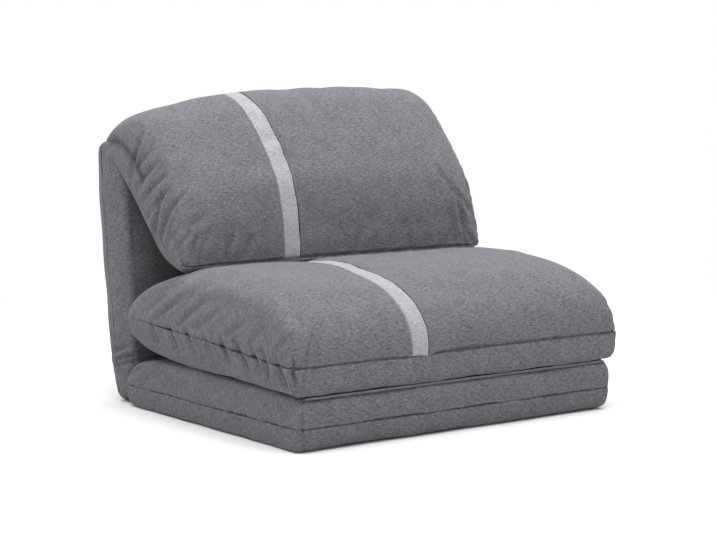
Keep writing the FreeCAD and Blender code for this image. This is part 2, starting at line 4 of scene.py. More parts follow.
import bmesh
import bpy
import numpy as np
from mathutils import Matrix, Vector


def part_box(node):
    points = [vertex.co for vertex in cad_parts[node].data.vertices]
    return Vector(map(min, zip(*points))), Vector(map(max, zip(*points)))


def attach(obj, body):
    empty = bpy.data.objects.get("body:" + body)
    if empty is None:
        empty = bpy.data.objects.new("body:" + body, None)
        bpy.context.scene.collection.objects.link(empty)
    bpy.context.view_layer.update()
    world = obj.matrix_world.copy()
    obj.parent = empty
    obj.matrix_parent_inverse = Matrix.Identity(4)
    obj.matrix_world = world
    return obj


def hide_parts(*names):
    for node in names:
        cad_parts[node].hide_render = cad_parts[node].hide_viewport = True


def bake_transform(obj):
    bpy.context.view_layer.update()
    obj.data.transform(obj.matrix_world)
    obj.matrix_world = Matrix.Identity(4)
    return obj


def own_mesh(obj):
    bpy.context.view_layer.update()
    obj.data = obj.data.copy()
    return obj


# Dress of a convertible chair bed: four padded pieces in a melange weave, sewn, stuffed and
# gathered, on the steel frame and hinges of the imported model. Outlines are in millimetres as
# a pattern maker writes them, and everything handed to Blender is in metres.

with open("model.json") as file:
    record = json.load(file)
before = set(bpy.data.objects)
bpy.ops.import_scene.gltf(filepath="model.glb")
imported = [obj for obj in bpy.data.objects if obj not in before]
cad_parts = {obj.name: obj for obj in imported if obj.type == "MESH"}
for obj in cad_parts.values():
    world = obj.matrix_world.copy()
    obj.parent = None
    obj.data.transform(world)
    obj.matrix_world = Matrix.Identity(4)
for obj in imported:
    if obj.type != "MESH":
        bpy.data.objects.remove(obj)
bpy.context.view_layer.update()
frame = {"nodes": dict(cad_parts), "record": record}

MM = 0.001
RENDER = (716, 540)

# The photographer's camera
CAMERA_AZIMUTH = -36.6
CAMERA_ELEVATION = 6.58
CAMERA_DISTANCE = 4.087
CAMERA_TARGET = (0.0, 0.0, 0.280)
CAMERA_LENS = 100.56
CAMERA_SENSOR = 36.0

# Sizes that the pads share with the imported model, read from it, in millimetres
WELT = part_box("crease_welt")
CREASE_Y = (WELT[0].y + WELT[1].y) / 2 / MM
CREASE_Z = (WELT[0].z + WELT[1].z) / 2 / MM
CREASE_HALF = WELT[1].x / MM
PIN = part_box("hinge_pins")
HINGE_Z = (PIN[0].z + PIN[1].z) / 2 / MM
HINGE_Y = (PIN[0].y + PIN[1].y) / 2 / MM
BASE_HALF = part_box("base_cover")[1].x / MM
SEAT_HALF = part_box("seat_cover")[1].x / MM
BACK_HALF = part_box("back_cover")[1].x / MM
PILLOW_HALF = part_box("pillow_cover")[1].x / MM
STRIPE_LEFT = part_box("seat_stripe")[0].x / MM
STRIPE_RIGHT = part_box("seat_stripe")[1].x / MM

LEAN = 6.6  # degrees that the backrest leans
FLOOR_CLOTH = 1.6  # lowest height of a cover, so that the grip cloth fits below it
SEAM_MARKS = (0.0, 2.0, 5.0, 10.0)  # points beside a panel's seams
SEAM_CLEAR = 17.0  # where the even spacing of a panel begins
STATION_STEP = 9.0  # points across a pad
FULLNESS = 2.2  # the power of every rounded end, where 2 is a circle
SEAM_GROOVE = 1.3  # how deep a seam is drawn in
PUCKER_REACH = 11.0  # how far puckers reach from a seam
END_ROOM = 5.0  # how far a pad's ends may swell
STITCH_PROUD = 0.3
STRAY = 2.5  # a simulated point further from its neighbours than this is put back between them
STRIPE_CALM = 16.0  # the stripe's seams pucker as if they were this far away
# FOLD_SHADE: how strongly a pressed fold is darkened with painted shade
FOLD_SHADE = 0.55
FOLD_DEPTH = 1.6  # all folds are pressed this many times deeper than listed


def camera_axes():
    """The camera's place and its right, up and forward directions."""
    turn = math.radians(CAMERA_AZIMUTH)
    rise = math.radians(CAMERA_ELEVATION)
    forward = Vector((-math.sin(turn) * math.cos(rise), math.cos(turn) * math.cos(rise), -math.sin(rise)))
    place = Vector(CAMERA_TARGET) - forward * CAMERA_DISTANCE
    right = forward.cross(Vector((0, 0, 1))).normalized()
    return place, right, right.cross(forward), forward


def in_picture(points):
    """Where points in metres fall in the picture, in pixels from its upper left corner."""
    place, right, up, forward = (np.array(v) for v in camera_axes())
    seen = points - place
    scale = CAMERA_LENS / CAMERA_SENSOR * RENDER[0] / (seen @ forward)
    return np.stack([RENDER[0] / 2 + seen @ right * scale, RENDER[1] / 2 - seen @ up * scale], axis=-1)


# Outlines

def on_back(across, up):
    """A place on the leaning backrest: across its thickness and up from its hinge."""
    turn = math.radians(-LEAN)
    return (HINGE_Y + across * math.cos(turn) - up * math.sin(turn),
            HINGE_Z + across * math.sin(turn) + up * math.cos(turn))


def between(a, b, t, low, high):
    """The value at t of a straight line that is a at low and b at high."""
    return (a * (high - t) + b * (t - low)) / (high - low)


def smooth_line(points, steps=24):
    """A smooth line through points, with centripetal spacing so that it doesn't loop."""
    p = np.array(points, float)
    p = np.vstack([2 * p[0] - p[1], p, 2 * p[-1] - p[-2]])
    knots = np.concatenate([[0], np.cumsum(np.sqrt(np.linalg.norm(np.diff(p, axis=0), axis=1)))])
    line = []
    for k in range(1, len(p) - 2):
        t0, t1, t2, t3 = knots[k - 1:k + 3]
        t = np.linspace(t1, t2, steps, endpoint=False)[:, None]
        a = between(p[k - 1], p[k], t, t0, t1)
        b = between(p[k], p[k + 1], t, t1, t2)
        c = between(p[k + 1], p[k + 2], t, t2, t3)
        line.append(between(between(a, b, t, t0, t2), between(b, c, t, t1, t3), t, t1, t2))
    line.append(p[-2][None, :])
    return np.vstack(line)


def panel_line(points, count):
    """Points along a panel from one seam to the other, closer together beside the seams."""
    line = smooth_line(points)
    travelled = np.concatenate([[0], np.cumsum(np.linalg.norm(np.diff(line, axis=0), axis=1))])
    near = np.array(SEAM_MARKS)
    length = travelled[-1]
    middle = np.linspace(SEAM_CLEAR, length - SEAM_CLEAR, count - 2 * len(near))
    marks = np.concatenate([near, middle, length - near[::-1]])
    return np.stack([np.interp(marks, travelled, line[:, axis]) for axis in (0, 1)], axis=1), marks


def rounding(inset, radius):
    """How far a section has opened at this distance from the end of a rounded pad."""
    t = np.clip(inset / radius, 0, 1)
    return (1 - (1 - t) ** FULLNESS) ** (1 / FULLNESS)


def stations(half, radius, stripe):
    """Places across a pad: close at its rounded ends and beside the sewn-in stripe."""
    turns = np.linspace(0, math.pi / 2, 10)
    even = np.arange(radius + STATION_STEP, half - STATION_STEP / 2, STATION_STEP)
    inset = np.concatenate([radius * (1 - np.cos(turns)), even, [half]])
    xs = np.concatenate([inset - half, (half - inset)[::-1][1:]])
    if stripe:
        marks = np.array([edge + shift for edge in (STRIPE_LEFT, STRIPE_RIGHT)
                          for shift in (-5.0, -2.0, 0.0, 2.0, 5.0)])
        clear = np.min(np.abs(xs[:, None] - marks[None, :]), axis=1) > 3.0
        xs = np.sort(np.concatenate([xs[clear], marks]))
    return xs


# Rows of a pad's end, as shares of the way from its upper edge to its seam, and on to its lower
# edge. The pillow's narrow end has fewer.
END_ABOVE = (0.0, 0.17, 0.34, 0.51, 0.67, 0.81, 0.91, 0.97, 1.0)
END_BELOW = (0.03, 0.09, 0.19, 0.34, 0.51, 0.68, 0.84, 1.0)
NARROW_ABOVE = (0.0, 0.3, 0.65, 1.0)
NARROW_BELOW = (0.35, 0.7, 1.0)
SEAM_FREE = 40.0  # the distance from a seam that stands for no seam near


class Pad:
    """One padded piece: an upper and a lower panel that meet in long seams front and rear.

    The ends are closed by columns of points that have a seam of their own, or, with edge_seam, by
    an end piece that is sewn to the upper panel's head half. round_up and round_low are the radii
    with which the panels open from the ends, corner how far and by what share the section is
    drawn in there, cap how much of the height stays at the very end, bow the arch that an end
    closes to and bulge how far the ends stand out."""

    def __init__(self, name, upper, lower, half, count, round_up, round_low, corner, cap,
                 bow=0.0, bulge=0.0, stripe=False, edge_seam=False):
        self.name = name
        self.up, self.up_marks = panel_line(upper, count)
        self.low, self.low_marks = panel_line(lower, count)
        self.xs = stations(half, max(round_up, round_low), stripe)
        self.half, self.count, self.bulge = half, count, bulge
        self.stripe, self.edge_seam = stripe, edge_seam
        self.above, self.below = (NARROW_ABOVE, NARROW_BELOW) if edge_seam else (END_ABOVE, END_BELOW)
        self.end_rows = len(self.above) + len(self.below) - 1
        self.head = int(0.5 * count)
        front, rear = self.up[0], self.up[-1]
        length = np.linalg.norm(rear - front)
        along = (rear - front) / length
        across = np.array([-along[1], along[0]])
        middle = (front + rear) / 2
        ring = np.vstack([self.up, self.low[1:-1]])
        self.size = len(ring)
        a = (ring - middle) @ along
        self.rise = c = (ring - middle) @ across
        share = a / (length / 2)
        caps = cap(share)
        arch = bow * (1 - np.clip(share, -1, 1) ** 2)
        upper_side = np.arange(self.size) < count
        self.spots = np.zeros((len(self.xs), self.size, 3))
        for j, gap in enumerate(half - np.abs(self.xs)):
            opening = np.where(upper_side, rounding(gap, round_up), rounding(gap, round_low))
            opened = caps + (1 - caps) * opening
            drawn = 1 - corner[1] * (1 - rounding(gap, corner[0]))
            self.spots[j, :, 0] = self.xs[j]
            self.spots[j, :, 1:] = (middle + np.outer(a * drawn, along)
                                    + np.outer(arch + (c - arch) * opened, across))
        steps = np.linalg.norm(np.diff(self.spots, axis=0), axis=2)
        arc = np.vstack([np.zeros((1, self.size)), np.cumsum(steps, axis=0)])
        self.arc = arc - arc[len(self.xs) // 2]
        self.build()

    def build(self):
        """The closed mesh: panels as a grid, ends closed by columns between upper and lower edge."""
        size, count = self.size, self.count
        self.points = list(self.spots.reshape(-1, 3))
        faces = []
        self.kinds = []
        for j in range(len(self.xs) - 1):
            for i in range(size):
                k = (i + 1) % size
                faces.append((j * size + i, (j + 1) * size + i, (j + 1) * size + k, j * size + k))
                self.kinds.append((j, i))
        self.end_cloth, self.end_seam, self.end_gap, self.end_stitch = {}, [], {}, []
        for j, side in ((0, -1), (len(self.xs) - 1, 1)):
            stitch = []
            columns = [self.end_column(j, i, side, stitch) for i in range(count)]
            self.end_stitch.append(stitch)
            for near, far in zip(columns, columns[1:]):
                for row in range(self.end_rows):
                    loop = [near[row], near[row + 1], far[row + 1], far[row]]
                    loop = [v for n, v in enumerate(loop) if v not in loop[:n]]
                    faces.append(tuple(loop[::-1]) if side < 0 else tuple(loop))
                    self.kinds.append((j, -1))
        self.verts = np.array(self.points)
        self.faces = faces if self.outward(faces) else [face[::-1] for face in faces]

    def end_column(self, j, i, side, stitch):
        """One column of an end: its points from the upper edge over the seam to the lower edge."""
        size, count = self.size, self.count
        mirror = (2 * count - 2 - i) % size
        top, bottom = j * size + i, j * size + mirror
        edge, mark = abs(self.arc[j, i]), self.up_marks[i]
        self.end_cloth[j, top] = (mark, side * edge)
        if top == bottom or i == count - 1:
            self.end_seam.append(top)
            return [top] * (self.end_rows + 1)
        upper, lower = self.points[top], self.points[bottom]
        share = np.clip(self.rise[i] / max(self.rise[i] - self.rise[mirror], 1e-6), 0.15, 0.85)
        seam = upper + (lower - upper) * share
        height = np.linalg.norm(lower - upper)
        taper = 1 - abs(2 * i / (count - 1) - 1) ** 4
        marks = [share * f for f in self.above[1:]] + [share + (1 - share) * f for f in self.below[:-1]]
        column = [top]
        for n, f in enumerate(marks):
            point = upper + (lower - upper) * f
            point[0] += side * self.bulge * taper * 4 * f * (1 - f)
            column.append(len(self.points))
            self.points.append(point)
            self.end_cloth[j, column[-1]] = (mark, side * (edge + f * height))
            self.end_gap[column[-1]] = f * height if self.edge_seam else abs(f - share) * height
            if n == len(self.above) - 2:
                self.end_seam.append(column[-1])
            if n == len(self.above) - 3:
                stitch.append(column[-1])
        self.end_cloth[j, bottom] = (mark, side * (edge + height))
        return column + [bottom]

    def outward(self, faces):
        """Whether the faces look outwards, from the sign of the volume that they close."""
        quads = np.array([face for face in faces if len(face) == 4])
        a, b, c, d = (self.verts[quads[:, n]] for n in range(4))
        return np.sum(np.cross(a, b) * c) + np.sum(np.cross(a, c) * d) > 0

    def seam_strength(self):
        """One on every seam of the pad and nought elsewhere: the long seams, the ends, the stripe."""
        strength = np.zeros(len(self.verts))
        grid = self.grid(strength)
        grid[:, 0] = grid[:, self.count - 1] = 1.0
        if self.edge_seam:
            grid[0, self.head:self.count] = grid[-1, self.head:self.count] = 1.0
        else:
            strength[self.end_seam] = 1.0
        for edge in self.stripe_edges():
            grid[int(np.argmin(np.abs(self.xs - edge))), :self.count] = 1.0
        return strength

    def seam_distance(self):
        """How far each point lies from the nearest seam, in millimetres."""
        away = np.full(len(self.verts), SEAM_FREE)
        grid = self.grid(away)
        for marks, start in ((self.up_marks, 0), (self.low_marks, self.count - 1)):
            for n, gap in enumerate(np.minimum(marks, marks[-1] - marks)):
                column = (start + n) % self.size
                grid[:, column] = np.minimum(grid[:, column], gap)
        if self.edge_seam:
            reach = np.minimum(self.arc - self.arc[0], self.arc[-1] - self.arc)
            grid[:, :self.count] = np.minimum(grid, reach)[:, :self.count]
        upper = grid[:, :self.count]
        for edge in self.stripe_edges():
            upper[:] = np.minimum(upper, np.abs(self.xs - edge)[:, None] + STRIPE_CALM)
        for vertex, gap in self.end_gap.items():
            away[vertex] = gap
        return away

    def stripe_edges(self):
        """Where the stripe's two seams cross the pad, if it has one."""
        return (STRIPE_LEFT, STRIPE_RIGHT) if self.stripe else ()

    def stitch_lines(self):
        """Points that the stitching runs along: beside both long seams, the ends and the stripe."""
        inner = [j for j, x in enumerate(self.xs) if abs(x) < self.half - 8.0]
        lines = [[j * self.size + column for j in inner] for column in (2, self.count - 3)]
        if self.edge_seam:
            head = range(self.head, self.count - 3)
            lines += [[j * self.size + i for i in head] for j in (2, len(self.xs) - 3)]
        else:
            lines += self.end_stitch
        for edge, shift in zip(self.stripe_edges(), (-2.0, 2.0)):
            j = int(np.argmin(np.abs(self.xs - edge - shift)))
            lines.append([j * self.size + i for i in range(1, self.count - 1)])
        return lines

    def grid(self, values):
        """The part of a per-vertex array that belongs to the panels, as stations by ring."""
        return values[:len(self.xs) * self.size].reshape(len(self.xs), self.size, *values.shape[1:])


def grid_faces(rows, size, closed=False, start=0):
    """The faces between rows of points, each row so many points long and perhaps a closed ring."""
    return [(start + j * size + i, start + j * size + (i + 1) % size,
             start + (j + 1) * size + (i + 1) % size, start + (j + 1) * size + i)
            for j in range(rows - 1) for i in range(size if closed else size - 1)]


def mesh_object(name, verts, faces, edges=()):
    """A mesh object from points in millimetres."""
    mesh = bpy.data.meshes.new(name)
    mesh.from_pydata([tuple(v) for v in np.asarray(verts) * MM], edges, faces)
    mesh.validate()
    piece = bpy.data.objects.new(name, mesh)
    bpy.context.scene.collection.objects.link(piece)
    return piece


def places(piece):
    """A mesh's points as an array, in metres."""
    spots = np.zeros(len(piece.data.vertices) * 3)
    piece.data.vertices.foreach_get("co", spots)
    return spots.reshape(-1, 3)


def set_places(piece, spots):
    """Move a mesh's points, given in metres."""
    piece.data.vertices.foreach_set("co", np.asarray(spots, float).ravel())
    piece.data.update()


def normals(piece):
    """A mesh's vertex normals as an array."""
    piece.data.update()
    found = np.zeros(len(piece.data.vertices) * 3)
    piece.data.vertex_normals.foreach_get("vector", found)
    return found.reshape(-1, 3)


def stuff(pad, piece, pressure, room, shrink, frames=20):
    """Inflate a pad as cloth, with its seams gathered, and keep each point within its room.

    Away from the seams nothing moves inwards, and both ends keep their reach."""
    before = places(piece)
    gathered = piece.vertex_groups.new(name="gathered_seams")
    weights = np.clip(shrink, 0, 1)
    levels = np.round(weights, 1)
    for level in np.unique(levels[levels > 0]):
        gathered.add([int(v) for v in np.flatnonzero(levels == level)], float(level), "REPLACE")
    cloth = piece.modifiers.new("stuffing", "CLOTH")
    for label, value in dict(quality=4, mass=0.25, tension_stiffness=20, compression_stiffness=12,
                             shear_stiffness=8, bending_stiffness=0.35, use_pressure=True,
                             uniform_pressure_force=pressure, vertex_group_shrink=gathered.name,
                             shrink_min=0.0, shrink_max=0.10).items():
        setattr(cloth.settings, label, value)
    cloth.settings.effector_weights.gravity = 0.0
    cloth.collision_settings.use_collision = False
    cloth.point_cache.frame_start = 1
    cloth.point_cache.frame_end = frames
    scene = bpy.context.scene
    for number in range(1, frames + 1):
        scene.frame_set(number)
    evaluated = piece.evaluated_get(bpy.context.evaluated_depsgraph_get())
    after = places(evaluated)
    piece.modifiers.remove(cloth)
    piece.vertex_groups.remove(gathered)
    scene.frame_set(1)
    outward = normals(piece)
    move = np.nan_to_num(after - before)
    panels = pad.grid(move)
    around = (np.roll(panels, 1, axis=1) + np.roll(panels, -1, axis=1)) / 2
    astray = np.linalg.norm(panels - around, axis=2) > STRAY * MM
    panels[astray] = around[astray]
    inward = np.minimum(np.sum(move * outward, axis=1), 0)
    move -= outward * (inward * (1 - weights))[:, None]
    far = np.linalg.norm(move, axis=1)
    limit = room * MM
    share = np.where(far > 1e-9, limit * np.tanh(far / np.maximum(limit, 1e-6)) / np.maximum(far, 1e-9), 0)
    after = before + move * share[:, None]
    for side in (-1, 1):
        reach = np.max(side * before[:, 0]) / np.max(side * after[:, 0])
        after[side * after[:, 0] > 0, 0] *= reach
    set_places(piece, after)


def bake(piece):
    """Make what a piece's modifiers give its plain mesh."""
    evaluated = piece.evaluated_get(bpy.context.evaluated_depsgraph_get())
    mesh = bpy.data.meshes.new_from_object(evaluated)
    mesh.name = piece.name
    piece.modifiers.clear()
    piece.data = mesh


def ripple(spots, length, seed):
    """A soft uneven wave through space, about from -1 to 1, with waves about this long in metres."""
    pick = np.random.default_rng(seed)
    total = np.zeros(len(spots))
    for _ in range(9):
        way = pick.normal(size=3)
        way /= np.linalg.norm(way)
        wave = 2 * math.pi / (length * pick.uniform(0.7, 1.4))
        total += np.sin(spots @ way * wave + pick.uniform(0, 2 * math.pi))
    return total / 3.0


def point_values(mesh, name):
    """A mesh's own number at each point."""
    values = np.zeros(len(mesh.vertices), np.float32)
    mesh.attributes[name].data.foreach_get("value", values)
    return values


def finish_pad(pad, piece, seed):
    """Subdivide a stuffed pad, press its seams in, and pucker the cloth beside them."""
    # The seam number marks each seam: it sinks the seam in, and the cloth material paints shade along it.
    for name, values in (("seam", pad.seam_strength()), ("away", pad.seam_distance())):
        piece.data.attributes.new(name, "FLOAT", "POINT").data.foreach_set("value", values.astype(np.float32))
    if pad.stripe:
        station, column = np.array(pad.kinds).T
        left, right = (int(np.argmin(np.abs(pad.xs - edge))) for edge in pad.stripe_edges())
        striped = (station >= left) & (station < right) & (column >= 0) & (column < pad.count - 1)
        piece.data.polygons.foreach_set("material_index", striped.astype(np.int32))
    lay_cloth(pad, piece)
    finer = piece.modifiers.new("finer", "SUBSURF")
    finer.levels = finer.render_levels = 1
    finer.boundary_smooth = "PRESERVE_CORNERS"
    bake(piece)
    mesh = piece.data
    spots = places(piece)
    near = np.exp(-point_values(mesh, "away") / PUCKER_REACH)
    push = ripple(spots, 0.16, seed) * 0.9 + ripple(spots, 0.070, seed + 1) * 0.55
    push += near * (ripple(spots, 0.021, seed + 2) * 0.75 + ripple(spots, 0.012, seed + 3) * 0.35)
    push -= point_values(mesh, "seam") * SEAM_GROOVE
    set_places(piece, spots + normals(piece) * (push * MM)[:, None])
    mesh.attributes.remove(mesh.attributes["away"])
    mesh.shade_smooth()


def lay_cloth(pad, piece):
    """UV in metres of cloth: along each panel, and across the pad and down its ends."""
    ring = np.concatenate([pad.up_marks, pad.up_marks[-1] + pad.low_marks[1:]])
    layer = piece.data.uv_layers.new(name="cloth")
    corners = []
    for face, (j, i) in zip(pad.faces, pad.kinds):
        for v in face:
            if i < 0:
                corners.append(pad.end_cloth[j, v])
                continue
            row, column = divmod(v, pad.size)
            along = ring[i + 1] if column == (i + 1) % pad.size else ring[i]
            corners.append((along, pad.arc[row, column]))
    layer.data.foreach_set("uv", (np.array(corners, np.float32) * MM).ravel())


def ease(low, high, values):
    """From nought to one, smoothly, as values go from low to high."""
    t = np.clip((values - low) / (high - low), 0, 1)
    return t * t * (3 - 2 * t)


def press(piece, folds, mirrored=False):
    """Press folds into the side of a piece that the picture shows, or into the other end like it.

    A fold is its line in pixels, its half width in pixels and its depth in millimetres. A
    negative depth raises it. Beside each fold the cloth stands a little proud, and a sinking fold
    is darkened with painted shade on the side that the camera sees."""
    spots, outward = places(piece), normals(piece)
    flip = np.array([-1.0, 1.0, 1.0]) if mirrored else np.ones(3)
    toward = np.array(camera_axes()[0]) - spots * flip
    toward /= np.linalg.norm(toward, axis=1)[:, None]
    weight = ease(0.03, 0.25, np.sum(outward * flip * toward, axis=1))
    if mirrored:
        weight *= ease(0.3, 0.7, outward[:, 0])
    seen = in_picture(spots * flip)
    push, shade = np.zeros(len(spots)), point_values(piece.data, "seam").astype(float)
    for line, width, depth in folds:
        line = np.array(line, float)
        runs = np.linalg.norm(np.diff(line, axis=0), axis=1)
        gap, share = np.full(len(seen), 1e9), np.zeros(len(seen))
        for n, run in enumerate(runs):
            way = (line[n + 1] - line[n]) / run
            t = np.clip((seen - line[n]) @ way, 0, run)
            far = np.linalg.norm(seen - line[n] - t[:, None] * way, axis=1)
            share = np.where(far < gap, (runs[:n].sum() + t) / runs.sum(), share)
            gap = np.minimum(gap, far)
        fade = np.sqrt(np.clip(1.12 * np.sin(math.pi * (0.06 + 0.88 * share)), 0, 1))
        fold = np.exp(-(gap / width) ** 2)
        bank = np.exp(-((gap - 2.1 * width) / width) ** 2)
        push -= depth * FOLD_DEPTH * fade * (fold - 0.4 * bank)
        # Painted shade: each sinking fold is darkened on the side that the camera sees.
        shade = np.maximum(shade, FOLD_SHADE * min(1.0, max(depth, 0.0) / 3.0) * fade * weight * fold)
    piece.data.attributes["seam"].data.foreach_set("value", shade.astype(np.float32))
    set_places(piece, spots + outward * (push * weight * MM)[:, None])


def split_stripe(piece, name):
    """Take the stripe's faces out of a pad's panels, as a piece of their own."""
    strip = bpy.data.objects.new(name, piece.data.copy())
    bpy.context.scene.collection.objects.link(strip)
    for owner, wanted in ((piece, 0), (strip, 1)):
        work = bmesh.new()
        work.from_mesh(owner.data)
        bmesh.ops.delete(work, geom=[f for f in work.faces if f.material_index != wanted], context="FACES")
        for face in work.faces:
            face.material_index = 0
        work.to_mesh(owner.data)
        work.free()
    return strip


# The four pads. A cap says how much of a pad's height its very ends keep, along a pad from -1 at
# the first seam of its outline to 1 at the second.

def even_cap(along):
    """The ends of base and backrest: the same all along."""
    return np.full_like(along, 0.80)


def seat_cap(along):
    """The seat's ends: higher in front, rounder towards the rear."""
    return 0.60 - 0.10 * along


def head_cap(along):
    """The pillow's end piece: a wedge that is wide at its head and runs out at its lower edge."""
    t = np.clip((along + 0.1) / 1.1, 0, 1)
    return 0.20 + 0.32 * t * t * (3 - 2 * t)


BASE_UPPER = [(-341, 45), (-342.5, 68), (-340, 88), (-331, 100), (-300, 104.5), (-130, 107.5), (60, 109),
              (190, 104), (246, 91), (279, 66), (286.5, 45)]
BASE_LOWER = [(286.5, 45), (286, 26), (279, 8), (266, 2), (100, 1.8), (-150, 1.8), (-317, 2), (-330, 5.5),
              (-338, 20), (-341, 45)]
SEAT_UPPER = [(-341, 156), (-340, 182), (-332, 210), (-310, 242), (-270, 269), (-215, 288), (-140, 298.5),
              (-60, 301), (60, 294), (150, 276), (205, 256), (240, 232), (256, 212), (259, 190)]
SEAT_LOWER = [(259, 190), (257, 166), (246, 147), (216, 134), (150, 119), (60, 112), (-130, 110),
              (-295, 106.5), (-325, 104.5), (-338, 103), (-343, 113), (-343, 135), (-341, 156)]
BACK_FRONT = [(9, -28), (-12, -27), (-27, -13), (-38, 18), (-50, 70), (-56, 140), (-60, 300), (-57, 440),
              (-53, 480), (-41, 502), (-20, 509), (9, 508)]
BACK_REAR = [(9, 508), (25, 498), (33, 470), (36, 400), (37, 280), (35, 100), (34, 50), (30, 5), (23, -17),
             (9, -28)]
PILLOW_FRONT = [(76, 300), (76, 340), (84, 400), (103, 460), (133, 505), (165, 545), (205, 589), (240, 618),
                (278, 636), (315, 641), (350, 627), (376, 597), (389, 562), (391, 553)]
PILLOW_BACK = [(391, 553), (387, 548.8), (354, 548), (326, 547), (313, 527), (290, 474), (250, 407),
               (205, 340), (178, 309), (150, 293), (115, 286), (90, 288), (76, 300)]

HEAD_FOOT, HEAD_RISE = 300.0, 340.0  # where the pillow begins, and how much higher its head is
LEFT_SINK, RIGHT_SINK = 54.0, 8.0
RIGHT_REACH, HEAD_REACH = 19.0, 12.0


def slump(verts):
    """The pillow's head sinks towards its left end, and its right end stands out further."""
    left, right = (np.clip(side * verts[:, 0] / PILLOW_HALF, 0, 1.02) for side in (-1, 1))
    high = np.clip((verts[:, 2] - HEAD_FOOT) / HEAD_RISE, 0, 1) ** 0.8
    verts[:, 2] -= (LEFT_SINK * left ** 1.9 + RIGHT_SINK * right ** 4) * high
    verts[:, 0] += (RIGHT_REACH + HEAD_REACH * high) * right ** 2


pads = {
    "base": Pad("base_pad", BASE_UPPER, BASE_LOWER, BASE_HALF - 2, 92, 17, 11, (12, 0.018), even_cap,
                bulge=3.0),
    "seat": Pad("seat_pad", SEAT_UPPER, SEAT_LOWER, SEAT_HALF - 3, 100, 66, 18, (24, 0.030), seat_cap,
                bulge=9.0, stripe=True),
    "back": Pad("back_pad", [on_back(*p) for p in BACK_FRONT], [on_back(*p) for p in BACK_REAR],
                BACK_HALF - 1, 84, 14, 14, (18, 0.025), even_cap, bulge=5.0),
    "pillow": Pad("pillow_pad", PILLOW_FRONT, PILLOW_BACK, PILLOW_HALF + 2, 92, 52, 40, (36, 0.06), head_cap,
                  bow=26.0, bulge=5.0, stripe=True, edge_seam=True),
}
slump(pads["pillow"].verts)
pads["seat"].verts[:, 0] += 9.0 * np.clip(pads["seat"].verts[:, 0] / SEAT_HALF, 0, 1.1) ** 4
pads["back"].verts[:, 1] += 6.0 * np.clip((pads["back"].verts[:, 1] - 345.0) / 30.0, 0, 1)


# Materials

def group_tree(name, inputs, outputs, kind="ShaderNodeTree"):
    """A node group with these sockets, and its input and output nodes."""
    tree = bpy.data.node_groups.new(name, kind)
    for socket, kind, value in inputs:
        made = tree.interface.new_socket(socket, in_out="INPUT", socket_type=kind)
        if value is not None:
            made.default_value = value
    for socket, kind in outputs:
        tree.interface.new_socket(socket, in_out="OUTPUT", socket_type=kind)
    return tree, tree.nodes.new("NodeGroupInput"), tree.nodes.new("NodeGroupOutput")


def put(tree, kind, settings=None, **inputs):
    """A node with its settings and inputs. An input is a value, or another node's output socket."""
    node = tree.nodes.new(kind)
    for name, value in (settings or {}).items():
        setattr(node, name, value)
    for name, value in inputs.items():
        key = int(name[1:]) if name[0] == "_" else name.replace("_", " ")
        if isinstance(value, bpy.types.NodeSocket):
            tree.links.new(value, node.inputs[key])
        else:
            node.inputs[key].default_value = value
    return node


def noise(tree, vector, stretch, scale, detail=2.0):
    """A noise texture on coordinates that are first stretched."""
    mapped = put(tree, "ShaderNodeMapping", Vector=vector, Scale=stretch)
    return put(tree, "ShaderNodeTexNoise", Vector=mapped.outputs[0], Scale=scale, Detail=detail,
               Roughness=0.55).outputs[0]


def math_node(tree, operation, a, b=0.0, c=0.0):
    """The result of a sum on values or sockets."""
    return put(tree, "ShaderNodeMath", {"operation": operation}, _0=a, _1=b, _2=c).outputs[0]


THREAD = 0.0016  # metres from one thread of the weave to the next but one


def melange_weave():
    """Plain weave of mixed light and dark fibres: colour and height from cloth coordinates."""
    tree, given, result = group_tree(
        "melange_weave",
        [("Cloth", "NodeSocketVector", None), ("Dark", "NodeSocketColor", (0.1, 0.1, 0.1, 1)),
         ("Light", "NodeSocketColor", (0.3, 0.3, 0.3, 1)), ("Flecks", "NodeSocketFloat", 0.5)],
        [("Color", "NodeSocketColor"), ("Height", "NodeSocketFloat")])
    cloth = given.outputs["Cloth"]
    weft = noise(tree, cloth, (1.0, 0.26, 1.0), 430.0)
    warp = noise(tree, cloth, (0.30, 1.0, 1.0), 480.0)
    slub = noise(tree, cloth, (1.0, 0.32, 1.0), 190.0)
    cloud = noise(tree, cloth, (1.0, 1.0, 1.0), 30.0, 3.0)
    threads = math_node(tree, "MULTIPLY_ADD", warp, 0.3, math_node(tree, "MULTIPLY", weft, 0.5))
    mixed = math_node(tree, "MULTIPLY_ADD", slub, 0.2, threads)
    centred = math_node(tree, "SUBTRACT", mixed, 0.5)
    spread = math_node(tree, "MULTIPLY_ADD", centred, given.outputs["Flecks"], 0.5)
    clouded = math_node(tree, "MULTIPLY_ADD", math_node(tree, "SUBTRACT", cloud, 0.5), 0.30, spread)
    fibres = put(tree, "ShaderNodeMix", {"data_type": "RGBA", "clamp_factor": True}, Factor=clouded,
                 _6=given.outputs["Dark"], _7=given.outputs["Light"])
    split = put(tree, "ShaderNodeSeparateXYZ", Vector=cloth)
    ribs = [math_node(tree, "SINE", math_node(tree, "MULTIPLY", split.outputs[axis], 2 * math.pi / THREAD))
            for axis in ("X", "Y")]
    height = math_node(tree, "MULTIPLY_ADD", math_node(tree, "MULTIPLY", *ribs), 0.35, mixed)
    tree.links.new(fibres.outputs[2], result.inputs["Color"])
    tree.links.new(height, result.inputs["Height"])
    return tree


